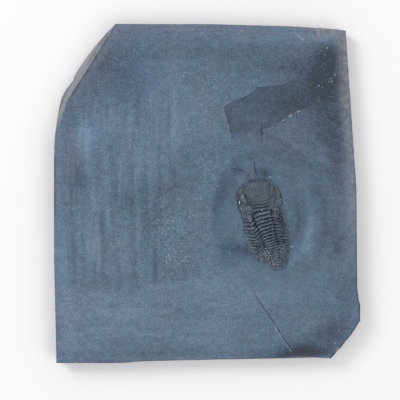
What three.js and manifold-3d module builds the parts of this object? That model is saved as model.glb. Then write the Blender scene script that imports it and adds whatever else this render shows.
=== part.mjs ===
// A trilobite lying on a sawn slab of slate, face up. Millimetres, +Z up out of the fossil's face.
// The origin is the middle of the slab's box, on its flat underside. +Y runs towards the head.
//
// The slab is one stone: a trimmed plate with two knocked-off corners, a shallow dish ground
// round the fossil and a thin flake scar beside it. The animal's shell is not one piece: a head
// shield, eleven body rings and a tail shield grew as separate plates, hinged on each other, and
// each lies on the floor of the dish as its own body of mineral, with its feelers and leg tips.

import * as THREE from "three";
import { mergeVertices } from "three/addons/utils/BufferGeometryUtils.js";
import Module from "manifold-3d";

const wasm = await Module();
wasm.setup();
const { lerp, smoothstep, degToRad } = THREE.MathUtils;

// ---- driving dimensions -----------------------------------------------------------------

const slab = { halfWidth: 84.3, halfHeight: 93.4, thickness: 10 };
const dish = { x: 34.8, y: -13.6, halfWidth: 32, halfHeight: 40, depth: 1.5 };
const dishSlope = [
  // share of the way out to the dish's rim, and how much of its depth is left there
  { share: 0.8, depth: 1 },
  { share: 0.87, depth: 0.78 },
  { share: 0.94, depth: 0.28 },
  { share: 1, depth: 0 },
];
const flakeDepth = 0.4;
const floorZ = slab.thickness - dish.depth;

// The neck is the point on the back line where the head meets the first body ring. Headings
// are in degrees, turned to the left from +Y; the body bows between its first and last rings.
const neck = { x: 30.4, y: -9.7 };
const heading = { head: 9.5, firstRing: 14.5, bow: 4.6, tail: 16 };
const ringCount = 11;
const firstPitch = 2.2; // length of the first ring along the back
const lastPitch = 1.4;
const seam = 0.3; // open joint between two plates
const roll = { head: 0.06, firstRing: 0.05, lastRing: 0.19, tail: 0.15 }; // share the left is wider

const head = { length: 17.6, halfWidth: 12, widestAt: 7.4, rim: 0.7 };
const tail = { length: 14.1, halfWidth: 9.5, widestAt: 10, rim: 0.5 };
const tailBite = { turn: -138.5, spread: 21.5, share: 0.31 }; // missing from the left rear rim
const back = { frontHalfWidth: 5.0, rearHalfWidth: 3.3, frontHeight: 3.5, rearHeight: 2.5 };
const flank = { frontHalfWidth: 10.9, middleHalfWidth: 11.2, rearHalfWidth: 10.0, height: 2.0 };
const flankBend = { from: 2.5, at: 8, back: 1.5, forward: 0.1 }; // mm from the back line

const feelerRadius = { right: 0.6, left: 0.35 };
const legRadius = 0.25;

// ---- materials --------------------------------------------------------------------------

const slate = new THREE.MeshStandardMaterial({ color: 0x66768a, roughness: 0.85, metalness: 0 });
const shell = new THREE.MeshStandardMaterial({ color: 0x4c4f55, roughness: 0.55, metalness: 0.1 });
const pyrite = new THREE.MeshStandardMaterial({ color: 0x57565a, roughness: 0.5, metalness: 0.3 });

// ---- solids: to and from manifold-3d ----------------------------------------------------

function solidOf(geometry) {
  const bare = new THREE.BufferGeometry();
  bare.setAttribute("position", geometry.getAttribute("position"));
  bare.setIndex(geometry.index);
  const merged = mergeVertices(bare, 1e-4);
  const triVerts = new Uint32Array(merged.index.array);
  return new wasm.Manifold(
    new wasm.Mesh({ numProp: 3, vertProperties: merged.attributes.position.array, triVerts }),
  );
}

function geometryOf(solid) {
  const mesh = solid.getMesh();
  const geometry = new THREE.BufferGeometry();
  geometry.setAttribute("position", new THREE.BufferAttribute(mesh.vertProperties, 3));
  geometry.setIndex(new THREE.BufferAttribute(mesh.triVerts, 1));
  geometry.computeVertexNormals();
  return geometry;
}

/** Moves every vertex of a geometry: move(x, y, z) returns its new place. */
function reshape(geometry, move) {
  const position = geometry.getAttribute("position");
  for (let i = 0; i < position.count; i++) {
    position.setXYZ(i, ...move(position.getX(i), position.getY(i), position.getZ(i)));
  }
  return geometry;
}

// ---- the slab ---------------------------------------------------------------------------

/** The slab's outline, clockwise from the left end of its top edge. */
function slabOutline() {
  const { halfWidth: w, halfHeight: h } = slab;
  const outline = new THREE.Shape();
  outline.moveTo(-50.5, h);
  outline.lineTo(-21.5, h);
  outline.quadraticCurveTo(42, h, 76.6, 90);
  outline.quadraticCurveTo(78.8, 50, 82.3, 3);
  outline.lineTo(82.7, -52);
  outline.lineTo(83.6, -59);
  outline.lineTo(w, -60.8);
  outline.lineTo(w, -70.2);
  outline.lineTo(80.1, -76.8);
  outline.lineTo(73.5, -85.1);
  outline.lineTo(68.2, -90.9);
  outline.lineTo(59.4, -90.4);
  outline.lineTo(45, -90.9);
  outline.quadraticCurveTo(8, -91, -34.7, -92.4);
  outline.lineTo(-47, -h);
  outline.lineTo(-83, -h);
  outline.lineTo(-83.6, -68);
  outline.lineTo(-w, -36);
  outline.lineTo(-w, 18);
  outline.quadraticCurveTo(-84.1, 41, -81.6, 52.2);
  outline.quadraticCurveTo(-80.4, 56.6, -74.2, 63.5);
  outline.lineTo(-74.4, 64.7); // the small tooth where the corner broke
  outline.lineTo(-72.2, 68.8);
  outline.quadraticCurveTo(-63.5, 82.7, -50.5, h);
  return outline;
}

/** Everything above the sloping plane through three points, as a block to cut away. */
function abovePlane(a, b, c) {
  const size = 120;
  const [pa, pb, pc] = [a, b, c].map((p) => new THREE.Vector3(...p));
  const normal = pb.clone().sub(pa).cross(pc.clone().sub(pa)).normalize();
  if (normal.z < 0) normal.negate();
  const turn = new THREE.Quaternion().setFromUnitVectors(new THREE.Vector3(0, 0, 1), normal);
  const block = new THREE.BoxGeometry(size, size, size);
  block.translate(0, 0, size / 2);
  block.applyQuaternion(turn);
  block.translate(pa.x, pa.y, pa.z);
  return solidOf(block);
}

/** The dish: an oval floor and a slope that rises to the slab's face. */
function dishCutter() {
  const above = 5;
  const slope = dishSlope.map(({ share, depth }) => new THREE.Vector2(share, -dish.depth * depth));
  const profile = [new THREE.Vector2(0, -dish.depth), ...slope];
  profile.push(new THREE.Vector2(1.02, above), new THREE.Vector2(0, above));
  const bowl = new THREE.LatheGeometry(profile, 48);
  bowl.rotateX(Math.PI / 2);
  bowl.scale(dish.halfWidth, dish.halfHeight, 1);
  bowl.translate(dish.x, dish.y, slab.thickness);
  return solidOf(bowl);
}

/** Height of the dish's surface at a point inside its rim. */
function dishSurface(x, y) {
  const out = Math.hypot((x - dish.x) / dish.halfWidth, (y - dish.y) / dish.halfHeight);
  if (out <= dishSlope[0].share) return floorZ;
  const next = dishSlope.findIndex(({ share }) => share > out);
  const [low, high] = [dishSlope[next - 1], dishSlope[next]];
  const depth = lerp(low.depth, high.depth, (out - low.share) / (high.share - low.share));
  return slab.thickness - dish.depth * depth;
}

/** The scar that a thin flake left, right of the middle and above the head. */
function flakeCutter() {
  const edge = new THREE.Shape();
  edge.moveTo(8.7, 47.2);
  edge.lineTo(18.3, 51.8);
  edge.lineTo(26.5, 57.1);
  edge.lineTo(33.7, 58.8);
  edge.lineTo(43.6, 60.1);
  edge.lineTo(51.3, 62.3);
  edge.lineTo(61.2, 51);
  edge.lineTo(51.3, 45);
  edge.lineTo(46.3, 42.8);
  edge.lineTo(43, 39.7);
  edge.lineTo(37.5, 37);
  edge.lineTo(30.4, 35.3);
  edge.lineTo(12.2, 34.2);
  const flake = new THREE.ExtrudeGeometry(edge, { depth: 5, bevelEnabled: false });
  flake.translate(0, 0, slab.thickness - flakeDepth);
  return solidOf(flake);
}

function slabGeometry() {
  const plate = new THREE.ExtrudeGeometry(slabOutline(), {
    depth: slab.thickness,
    curveSegments: 5,
    bevelEnabled: false,
  });
  const face = slab.thickness;
  const brokenCorner = abovePlane([-50.7, 92.6, face], [-73.2, 56.8, face], [-79.3, 57.6, 2.2]);
  const wornLeftEdge = abovePlane([-76.2, 52.5, face], [-84.2, 30, face], [-83, 44.7, 4]);
  const wornRightEdge = abovePlane([77.6, 38, face], [72.6, 84, face], [78.4, 60, 8.8]);
  const cuts = [brokenCorner, wornLeftEdge, wornRightEdge, dishCutter(), flakeCutter()];
  return geometryOf(cuts.reduce((stone, cut) => stone.subtract(cut), solidOf(plate)));
}

// ---- the shell plates -------------------------------------------------------------------
// Each plate has its own frame: x to the animal's right as it lies, y forward along the back,
// z up from the floor of the dish, with the origin at the middle of its rear edge.

const arch = (share) => Math.sqrt(Math.max(0, 1 - share * share));

/** Makes one side wider than the other, as on an animal that lies a little on its side. */
const rolled = (x, share) => x * (x < 0 ? 1 + share : 1 - share);

/** The flanks run to the rear as far as the bend, then curve forward to the tip. */
function flankRun(x) {
  const side = Math.abs(x);
  const curl = Math.max(side - flankBend.at, 0) ** 2 * flankBend.forward;
  return curl - flankBend.back * smoothstep(side, flankBend.from, flankBend.at);
}

/** A low solid with a flat underside and a moulded top. plan(turn) gives how far the rim is
 *  from the centre, and height(x, y, share) how high the top is, share being 1 at the rim. */
function mouldedDisc({ rings, sectors, centreY, plan, height }) {
  const profile = [new THREE.Vector2(0, 0), new THREE.Vector2(1, 0)];
  for (let i = rings; i >= 0; i--) profile.push(new THREE.Vector2(i / rings, 1));
  const disc = new THREE.LatheGeometry(profile, sectors);
  disc.rotateX(Math.PI / 2);
  return reshape(disc, (x, y, z) => {
    const share = Math.hypot(x, y);
    const reach = share > 0 ? plan(Math.atan2(y, x)) : 0;
    const [px, py] = [x * reach, centreY + y * reach];
    return [px, py, z > 0.5 ? height(px, py, share) : 0];
  });
}

/** How far the rim of a rounded oblong is from its centre in one direction. */
function roundedRim(turn, halfWidth, halfLength, squareness) {
  const across = Math.abs(Math.cos(turn) / halfWidth) ** squareness;
  const along = Math.abs(Math.sin(turn) / halfLength) ** squareness;
  return (across + along) ** (-1 / squareness);
}

/** Head shield: cheeks that fall to a rim, the swollen middle lobe, eyes and the neck ring. */
function headHeight(x, y, share) {
  const side = Math.abs(x);
  const cheeks = head.rim + 1.9 * arch(share);
  const lobeHalfWidth = lerp(4.8, 7.2, smoothstep(y, 2, 11));
  const lobeLength = y > 9.6 ? (y - 9.6) / 7.7 : (9.6 - y) / 9;
  const lobe = 0.9 + 3.7 * arch(Math.hypot(side / lobeHalfWidth, lobeLength));
  const eye = 1.4 + 2.3 * arch(Math.hypot((side - 8.3) / 1.6, (y - 8.8) / 3));
  const neckRing = y < 1.8 ? back.frontHeight * arch(side / 5) : 0;
  const furrow = 0.9 * Math.exp(-(((y - 2.3) / 0.5) ** 2)) * (side < 5 ? 1 : 0);
  const inLobe = lobe > 0.91;
  const inEye = eye > 1.41;
  return Math.max(cheeks, inLobe ? lobe - furrow : 0, inEye ? eye : 0, neckRing);
}

function headGeometry() {
  const disc = mouldedDisc({
    rings: 12,
    sectors: 44,
    centreY: head.widestAt,
    plan: (turn) =>
      Math.sin(turn) > 0
        ? roundedRim(turn, head.halfWidth, head.length - head.widestAt, 2.15)
        : roundedRim(turn, head.halfWidth, head.widestAt - seam, 4.2),
    height: headHeight,
  });
  return reshape(disc, (x, y, z) => {
    const across = rolled(x, roll.head);
    return [across, y + flankRun(across) * (1 - smoothstep(y, 0, head.widestAt)), z];
  });
}

/** Height of a body ring across the animal, from 0 on the back line to 1 at the side's tip. */
function ringHeight(side, backHalfWidth, halfWidth, backHeight) {
  const furrow = 1.3;
  if (side < backHalfWidth) {
    return furrow + (backHeight - furrow) * arch(side / backHalfWidth);
  }
  const out = (side - backHalfWidth) / (halfWidth - backHalfWidth);
  const rise = lerp(furrow, flank.height, smoothstep(out, 0, 0.3));
  return rise * (1 - 0.72 * out ** 2.2);
}

/** How long, wide and high ring number i of the eleven is, and how far it is rolled. */
function ringSizes(i) {
  const along = (i + 0.5) / ringCount;
  const { frontHalfWidth, middleHalfWidth, rearHalfWidth } = flank;
  return {
    pitch: lerp(firstPitch, lastPitch, i / (ringCount - 1)),
    backHalfWidth: lerp(back.frontHalfWidth, back.rearHalfWidth, along),
    backHeight: lerp(back.frontHeight, back.rearHeight, along),
    halfWidth:
      along < 0.5
        ? lerp(frontHalfWidth, middleHalfWidth, along * 2)
        : lerp(middleHalfWidth, rearHalfWidth, along * 2 - 1),
    skew: lerp(roll.firstRing, roll.lastRing, along),
  };
}

function ringGeometry({ pitch, backHalfWidth, backHeight, halfWidth, skew }) {
  const length = pitch - seam;
  const bar = new THREE.BoxGeometry(2, length, 1, 26, 3, 1);
  bar.translate(0, length / 2, 0.5);
  return reshape(bar, (x, y, z) => {
    const forward = y / length;
    const swell = 1 - 0.28 * smoothstep(forward, 0.4, 1) - 0.12 * (1 - smoothstep(forward, 0, 0.3));
    const top = swell * ringHeight(Math.abs(x) * halfWidth, backHalfWidth, halfWidth, backHeight);
    const across = rolled(x * halfWidth, skew);
    const rounded = lerp(length / 2, y, 1 - 0.5 * smoothstep(Math.abs(x), 0.88, 1)); // at the tips
    return [across, rounded + flankRun(across), z > 0.5 ? top : 0];
  });
}

/** Tail shield: a tapering, ringed back between ribbed flanks that fall to the rim. */
function tailHeight(x, y, share) {
  const side = Math.abs(x);
  const forward = y / tail.length;
  const flanks = tail.rim + 1.3 * arch(share);
  const backHalfWidth = lerp(0.7, back.rearHalfWidth, smoothstep(forward, 0.08, 1));
  const backHeight = lerp(1.1, back.rearHeight, smoothstep(forward, 0.1, 1));
  const onBack = side < backHalfWidth && forward > 0.14;
  return Math.max(flanks, onBack ? backHeight * arch(side / backHalfWidth) : 0);
}

/** Share of the tail's reach that is left in one direction, where a bite was broken out. */
function leftOfTail(turn) {
  const off = (turn - degToRad(tailBite.turn)) / degToRad(tailBite.spread);
  return 1 - tailBite.share * Math.exp(-off * off);
}

function tailGeometry() {
  const { length, halfWidth, widestAt } = tail;
  const disc = mouldedDisc({
    rings: 8,
    sectors: 36,
    centreY: widestAt,
    plan: (turn) =>
      Math.sin(turn) > 0
        ? roundedRim(turn, halfWidth, length - widestAt, 4.2)
        : roundedRim(turn, halfWidth, widestAt, 1.6) * leftOfTail(turn),
    height: tailHeight,
  });
  return reshape(disc, (x, y, z) => {
    const across = rolled(x, roll.tail);
    return [across, y + flankRun(across) * smoothstep(y, widestAt - 2, length), z];
  });
}

// ---- feelers and leg tips ---------------------------------------------------------------

/** A round thread through some points. */
function threadGeometry(points, radius, steps) {
  const section = new THREE.Shape();
  section.absarc(0, 0, radius, 0, Math.PI * 2);
  const path = new THREE.CatmullRomCurve3(points.map((point) => new THREE.Vector3(...point)));
  return new THREE.ExtrudeGeometry(section, {
    steps,
    curveSegments: 4,
    extrudePath: path,
    bevelEnabled: false,
  });
}

// ---- assembly ---------------------------------------------------------------------------

const fossil = new THREE.Group();

function place(name, geometry, material, parent = fossil) {
  const mesh = new THREE.Mesh(geometry, material);
  mesh.name = name;
  parent.add(mesh);
  return mesh;
}

/** A group that stands on the floor of the dish, turned to a heading in degrees. */
function stationAt(x, y, heading) {
  const station = new THREE.Group();
  station.position.set(x, y, floorZ);
  station.rotation.z = degToRad(heading);
  fossil.add(station);
  return station;
}

place("slate_slab", slabGeometry(), slate);
place("head_shield", headGeometry(), shell, stationAt(neck.x, neck.y, heading.head));

/** A step of the back line to the rear, on a heading. */
function stepBack([x, y], length, degrees) {
  return [x + length * Math.sin(degToRad(degrees)), y - length * Math.cos(degToRad(degrees))];
}

let backPoint = [neck.x, neck.y];
const ringStations = [];
for (let i = 0; i < ringCount; i++) {
  const sizes = ringSizes(i);
  const degrees = heading.firstRing + heading.bow * Math.sin((Math.PI * i) / 14);
  backPoint = stepBack(backPoint, sizes.pitch, degrees);
  const station = stationAt(...backPoint, degrees);
  place(`body_ring_${String(i + 1).padStart(2, "0")}`, ringGeometry(sizes), shell, station);
  ringStations.push({ station, ...sizes });
}

backPoint = stepBack(backPoint, tail.length + seam, heading.tail);
place("tail_shield", tailGeometry(), shell, stationAt(...backPoint, heading.tail));

// Leg tips show past the ends of some rings: the right side of the front, the left of the rear.
const lifted = 0.08; // the legs and feelers are this far clear of the stone
function placeLeg(name, ringIndex, side, reach) {
  const { station, halfWidth, skew, pitch } = ringStations[ringIndex];
  const tipX = rolled(side * halfWidth, skew) + side * (seam + legRadius);
  const tipY = flankRun(tipX) + pitch * 0.4;
  const route = [
    [tipX, tipY, 0],
    [tipX + side * reach * 0.55, tipY - reach * 0.12, 0],
    [tipX + side * reach, tipY - reach * 0.5, 0],
  ];
  const leg = place(name, threadGeometry(route, legRadius, 4), pyrite, station);
  leg.position.z = legRadius + lifted;
}
[0, 1, 3, 5, 7].forEach((ring, n) => placeLeg(`leg_right_${n + 1}`, ring, 1, 3.6 - 0.3 * n));
[4, 6, 8, 10].forEach((ring, n) => placeLeg(`leg_left_${n + 1}`, ring, -1, 1.8 + 0.25 * n));

// The feelers leave the front of the head. One runs on ahead, the other bends to the left.
function placeFeeler(name, radius, route) {
  const onStone = route.map(([x, y]) => [x, y, dishSurface(x, y)]);
  const feeler = place(name, threadGeometry(onStone, radius, 12), pyrite);
  feeler.position.z = radius + lifted;
}
placeFeeler("feeler_right", feelerRadius.right, [
  [26, 9.2],
  [26.2, 12],
  [25.9, 15],
  [25.2, 17.2],
]);
placeFeeler("feeler_left", feelerRadius.left, [
  [23.4, 8.6],
  [21.6, 10.7],
  [18.5, 12.7],
  [13.5, 13.8],
]);

export default fossil;
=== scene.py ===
# %% [markdown]
# # A trilobite on its slab of slate
# The object is a trimmed plate of slate, about the size of a book, with a trilobite five
# centimetres long lying in a shallow hollow. Someone split the stone, sawed its edges and
# then ground and brushed the slate away until the animal's hard back stood clear. The shell
# turned to pyrite and dark mineral, so it is darker and shinier than the stone around it.
#
# The first cell loads the measured model. It says where each plate of the animal lies, and
# everything below is made at those places, in metres.

# %% Load the measured model
import math
import random

import bmesh
import bpy
from bmesh.types import BMEdge, BMFace, BMVert
from mathutils import Matrix, Vector, noise
from mathutils.bvhtree import BVHTree
from mathutils.kdtree import KDTree


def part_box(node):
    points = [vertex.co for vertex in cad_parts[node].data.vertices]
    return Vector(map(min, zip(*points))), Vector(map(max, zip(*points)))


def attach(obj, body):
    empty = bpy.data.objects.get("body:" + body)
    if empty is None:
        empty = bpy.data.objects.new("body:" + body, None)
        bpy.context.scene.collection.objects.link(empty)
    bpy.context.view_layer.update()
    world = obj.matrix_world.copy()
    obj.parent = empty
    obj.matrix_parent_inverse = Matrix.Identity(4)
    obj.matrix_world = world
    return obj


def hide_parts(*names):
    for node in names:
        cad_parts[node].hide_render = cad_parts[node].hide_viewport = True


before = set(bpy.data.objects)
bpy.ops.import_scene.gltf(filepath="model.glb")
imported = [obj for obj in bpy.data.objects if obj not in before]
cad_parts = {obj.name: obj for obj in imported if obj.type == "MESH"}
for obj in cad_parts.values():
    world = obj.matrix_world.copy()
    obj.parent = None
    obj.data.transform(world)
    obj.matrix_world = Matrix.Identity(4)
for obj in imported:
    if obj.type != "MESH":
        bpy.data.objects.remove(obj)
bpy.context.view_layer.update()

MM = 0.001
scene = bpy.context.scene
print("nodes to dress:", len(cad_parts))

# %% [markdown]
# ## Camera, floor and light
# A slab this size is looked at from straight above, so the camera points down with a
# longish lens, which keeps the slab's edges nearly parallel. A big soft lamp stands to the
# upper left. It throws the faint warm shadow at the lower right and rakes over the hollow,
# so that its rim can be seen. A weaker lamp on the other side keeps the ribs readable.

# %% Camera above the slab
face_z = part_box("slate_slab")[1].z


def add_camera(look_at, distance, lens):
    data = bpy.data.cameras.new("camera")
    data.lens = lens
    camera = bpy.data.objects.new("camera", data)
    camera.location = look_at + Vector((0, 0, distance))
    scene.collection.objects.link(camera)
    scene.camera = camera
    return camera


LENS = 85
SENSOR_WIDTH = 36  # mm, like the lens
VIEW_WIDTH = 220.3 * MM  # how much of the face's plane is in view, from side to side
VIEW_MIDDLE = Vector((-3.9 * MM, -3.6 * MM, face_z))
view_distance = VIEW_WIDTH / 2 / (SENSOR_WIDTH / 2 / LENS)
camera = add_camera(VIEW_MIDDLE, view_distance, LENS)
print("camera", round(view_distance, 3), "m above the face")

# %% Pale floor and soft studio light
FLOOR_GAP = 0.05 * MM  # the floor lies a hair below the slab, so that the two never mix


def add_area_light(name, place, target, size, watts, colour=(1, 1, 1)):
    data = bpy.data.lights.new(name, "AREA")
    data.shape = "DISK"
    data.size = size
    data.energy = watts
    data.color = colour
    lamp = bpy.data.objects.new(name, data)
    lamp.location = place
    lamp.rotation_mode = "QUATERNION"
    lamp.rotation_quaternion = (Vector(target) - Vector(place)).to_track_quat("-Z", "Y")
    scene.collection.objects.link(lamp)
    return lamp


def plain_floor(size, colour):
    bm = bmesh.new()
    bmesh.ops.create_grid(bm, x_segments=2, y_segments=2, size=size)
    bmesh.ops.translate(bm, verts=bm.verts, vec=(0, 0, -FLOOR_GAP))
    mesh = bpy.data.meshes.new("floor")
    bm.to_mesh(mesh)
    bm.free()
    floor = bpy.data.objects.new("floor", mesh)
    scene.collection.objects.link(floor)
    paper = bpy.data.materials.new("floor_paper")
    paper.use_nodes = True
    shader = paper.node_tree.nodes["Principled BSDF"]
    for knob, value in (("Base Color", colour), ("Roughness", 0.9), ("Specular IOR Level", 0.2)):
        shader.inputs[knob].default_value = value
    mesh.materials.append(paper)
    return floor


plain_floor(3, (0.93, 0.89, 0.885, 1))

world = bpy.data.worlds.new("studio")
world.use_nodes = True
sky = world.node_tree.nodes["Background"]
sky.inputs["Color"].default_value = (0.93, 0.96, 1, 1)
sky.inputs["Strength"].default_value = 0.76
scene.world = world
add_area_light("key_upper_left", (-1.0, 0.75, 1.0), (0, 0, 0), 0.7, 9.2, (1, 0.98, 0.96))
add_area_light("fill_lower_right", (0.9, -0.6, 1.1), (0, 0, 0), 1.0, 4.6, (1, 0.97, 0.94))
scene.view_settings.view_transform = "Standard"

# %% [markdown]
# ## The slab's blank
# The stone could be modelled by hand, but its outline is already known: it is the measured
# slab's underside. That one face is copied and pulled up to the slab's thickness. Every
# later step cuts this blank or moves its corners, so the outline stays exact.

# %% Blank stone
slab_low, slab_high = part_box("slate_slab")


def underside_of(node):
    """A new bmesh that holds only the largest downward face of a CAD node."""
    bm = bmesh.new()
    bm.from_mesh(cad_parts[node].data)
    bmesh.ops.remove_doubles(bm, verts=bm.verts, dist=0.002 * MM)
    bmesh.ops.dissolve_limit(bm, angle_limit=math.radians(1), verts=bm.verts, edges=bm.edges)
    down = max((f for f in bm.faces if f.normal.z < -0.99), key=lambda f: f.calc_area())
    bmesh.ops.delete(bm, geom=[f for f in bm.faces if f is not down], context="FACES")
    return bm


def only(kind, made):
    """The corners, edges or faces among what an operator made."""
    return [part for part in made["geom"] if isinstance(part, kind)]


def blank_slab():
    bm = underside_of("slate_slab")
    made = bmesh.ops.extrude_face_region(bm, geom=bm.faces[:], use_keep_orig=True)
    bmesh.ops.translate(bm, verts=only(BMVert, made), vec=(0, 0, face_z))
    bmesh.ops.recalc_face_normals(bm, faces=bm.faces)
    return bm


slab = blank_slab()
print("blank slab:", len(slab.verts), "corners, closed:", all(e.is_manifold for e in slab.edges))

# %% [markdown]
# ## A net of cuts
# A flat face can't be shaped until it has corners to move, so planes cut it into a net. A
# cut looks at every face it is given, so hundreds of cuts would be slow. Cutting in the
# middle first, and then each half on its own, does the same job in seconds. The face gets
# one line a millimetre, and two where the hollow and the flake scar are. The back keeps a
# wide net, because slate splits flat and nothing fine happens there.

# %% Cut the net
ACROSS, ALONG, UP = Vector((1, 0, 0)), Vector((0, 1, 0)), Vector((0, 0, 1))
BACK_NET = 3.4 * MM
FACE_NET = 1.0 * MM
FINE_NET = 0.5 * MM
SIDE_NET = 1.4 * MM
TOP_LEVEL = face_z - 0.4 * MM  # one more cut round the sides, just under the face
NEARLY = 0.01 * MM
FINE_X = (2 * MM, 68 * MM)
FINE_Y = (-54 * MM, 62 * MM)


def cut(bm, faces, point, normal):
    """Cuts faces by a plane and returns the faces that they became."""
    edges = {e for f in faces for e in f.edges}
    corners = {v for f in faces for v in f.verts}
    made = bmesh.ops.bisect_plane(
        bm, geom=faces + list(edges) + list(corners), plane_co=point, plane_no=normal)
    return only(BMFace, made)


def slice_up(bm, faces, normal, places):
    """Cuts faces at every place along normal, halving the job each time."""
    if not places or not faces:
        return
    middle = len(places) // 2
    here = places[middle]
    below, above = [], []
    for face in cut(bm, faces, normal * here, normal):
        side = below if face.calc_center_bounds().dot(normal) < here else above
        side.append(face)
    slice_up(bm, below, normal, places[:middle])
    slice_up(bm, above, normal, places[middle + 1:])


def steps(low, high, spacing):
    count = max(1, round((high - low) / spacing))
    return [low + (high - low) * i / count for i in range(1, count)]


def graded(low, high, fine):
    """Places from low to high: wide steps outside the fine stretch, narrow steps in it."""
    fine_low, fine_high = fine
    return (steps(low, fine_low, FACE_NET) + [fine_low] + steps(fine_low, fine_high, FINE_NET)
            + [fine_high] + steps(fine_high, high, FACE_NET))


def facing(bm, low, high=1.1):
    """The faces whose normal's z lies between two values."""
    return [f for f in bm.faces if low < f.normal.z < high]


slice_up(slab, facing(slab, -1.1, -0.5), ACROSS, steps(slab_low.x, slab_high.x, BACK_NET))
slice_up(slab, facing(slab, -1.1, -0.5), ALONG, steps(slab_low.y, slab_high.y, BACK_NET))
slice_up(slab, facing(slab, -0.5), ACROSS, graded(slab_low.x, slab_high.x, FINE_X))
slice_up(slab, facing(slab, -0.5), ALONG, graded(slab_low.y, slab_high.y, FINE_Y))
print("net:", len(slab.faces), "faces")

# %% [markdown]
# ## Lines that must stay sharp
# Three things on the face have a crisp edge that no even net can follow: the step round
# the flake scar, the hairline cracks and the creases where broken edges begin. Each is cut
# along its own line, with one more cut beside it where it has a lip, so the edge stays
# straight however wide the net is. Only the faces near the line are touched.

# %% Cut the net along the scar, the cracks and the broken edges


def at(*pairs):
    return [Vector((x * MM, y * MM)) for x, y in pairs]


def segments(line, closed=False):
    return list(zip(line, line[1:] + line[:1])) if closed else list(zip(line, line[1:]))


def swell(place, size, seed):
    """Smooth noise from -1 to 1 whose swells are about size mm apart."""
    size *= MM
    return noise.noise(Vector((place.x / size, place.y / size, seed * 7.3)))


def roughened(line, step, amount):
    """Adds corners along a closed line and pushes them about, as the edge of a flake breaks."""
    rough = []
    for a, b in segments(line, closed=True):
        count = max(1, round((b - a).length / step))
        for i in range(count):
            point = a.lerp(b, i / count)
            push = Vector((swell(point, 1.9, 50), swell(point, 1.9, 51)))
            rough.append(point + push * amount)
    return rough


SCAR = roughened(at((8.7, 47.6), (18.0, 52.3), (24.6, 55.4), (27.5, 58.2), (33.7, 58.9), (43.6, 60.1),
                    (47.5, 63.4), (52.5, 66.0), (61.2, 51), (51.3, 45.2), (46.3, 42.6), (43, 39.4),
                    (37.5, 36.6), (31, 35), (31, 26), (14.6, 26), (12.2, 34.2), (10.9, 41.5)),
                 2.4 * MM, 0.9 * MM)
SCAR_STEP = 0.16 * MM  # how far in from its edge the scar reaches its full depth
CRACK = at((17.5, -41), (22.9, -49.4), (28.7, -59.6), (32.6, -65.2), (37.6, -72.4), (41.9, -79.5),
           (48, -88))
SHORT_CRACK = at((30.3, 38.5), (29.6, 35.3), (30.1, 32.5), (30.4, 29))
SCRATCH = at((47.9, 88.4), (53.4, 84.5))
CRACK_WIDTH = 0.3 * MM
BROKEN = (  # the sloping breaks and worn edges: two points of the crease and one on the slope
    ((-50.7, 92.6, 10), (-73.2, 56.8, 10), (-79.3, 57.6, 2.2)),
    ((-76.2, 52.5, 10), (-84.2, 30, 10), (-83, 44.7, 4)),
    ((77.6, 38, 10), (72.6, 84, 10), (78.4, 60, 8.8)),
)
CREASES = [at(start[:2], end[:2]) for start, end, _ in BROKEN]


def away_from(point, a, b):
    """Distance of a point from the stretch a to b."""
    along = (b - a).normalized()
    t = min(max((point - a).dot(along), 0), (b - a).length)
    return (point - a - along * t).length


def away_from_line(point, line, closed=False):
    return min(away_from(point, a, b) for a, b in segments(line, closed))


def upper_faces_near(bm, a, b, reach):
    low = Vector((min(a.x, b.x) - reach, min(a.y, b.y) - reach))
    high = Vector((max(a.x, b.x) + reach, max(a.y, b.y) + reach))
    for face in bm.faces:
        corner = face.verts[0].co
        if low.x < corner.x < high.x and low.y < corner.y < high.y and face.normal.z > 0.5:
            if away_from(corner.xy, a, b) < reach:
                yield face


def cut_along(bm, line, offsets=(0,), closed=False, reach=1.5 * MM):
    """Cuts the upper faces near a line along it, once for each sideways offset."""
    for a, b in segments(line, closed):
        side = Vector((b.y - a.y, a.x - b.x, 0)).normalized()
        faces = list(upper_faces_near(bm, a, b, reach))
        for offset in offsets:
            faces = cut(bm, faces, a.to_3d() + side * offset, side)


cut_along(slab, SCAR, offsets=(0, SCAR_STEP), closed=True)
for crack in (CRACK, SHORT_CRACK, SCRATCH):
    cut_along(slab, crack, offsets=(-CRACK_WIDTH, 0, CRACK_WIDTH))
for crease in CREASES:
    cut_along(slab, crease)
print("net with its lines:", len(slab.faces), "faces")

# %% [markdown]
# ## Shaping the face
# The relief of the face is low: a millimetre and a half at the hollow, less than half a
# millimetre at the scar, and hundredths elsewhere. It could be sculpted by hand or pushed
# up by a texture. Here every corner of the net gets its height from a few plain rules, one
# for each thing that happened to the stone: it split with a slight swell, it was ground
# out round the animal, a flake came off, it cracked, and its edges broke and wore down.

# %% Rules for the height of the face
HOLLOW = {"middle": Vector((34.8 * MM, -13.6 * MM)), "half": (32 * MM, 40 * MM), "depth": 1.5 * MM}
SCAR_DEPTH = 0.4 * MM
CRACK_DEPTH = 0.3 * MM
CHIPS = (  # x, y, radius and depth of small chips along the edges
    (-81.6, -82.5, 1.6, 0.9), (-72.6, -92.8, 1.4, 0.9), (-69.2, -91.6, 1.5, 0.6),
    (-62.5, -89.6, 0.9, 0.35), (72, -86.8, 2.2, 0.9), (76.5, -81.4, 1.2, 0.5), (-83.6, 2, 1.0, 0.5),
    (-83.8, -31, 1.3, 0.5), (82.4, -20, 1.1, 0.5), (31, 92.6, 1.2, 0.4), (-20, 93.2, 1.5, 0.5),
    (5, -91.8, 1.3, 0.5), (60.2, 90.8, 1.6, 0.5), (80.6, 52, 1.2, 0.5),
)


def ramp(value, low, high):
    t = min(max((value - low) / (high - low), 0), 1)
    return t * t * (3 - 2 * t)


def hump(value, middle, width):
    """1 at the middle, falling smoothly to nearly 0 at twice the width."""
    return math.exp(-((value - middle) / width) ** 2)


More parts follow.
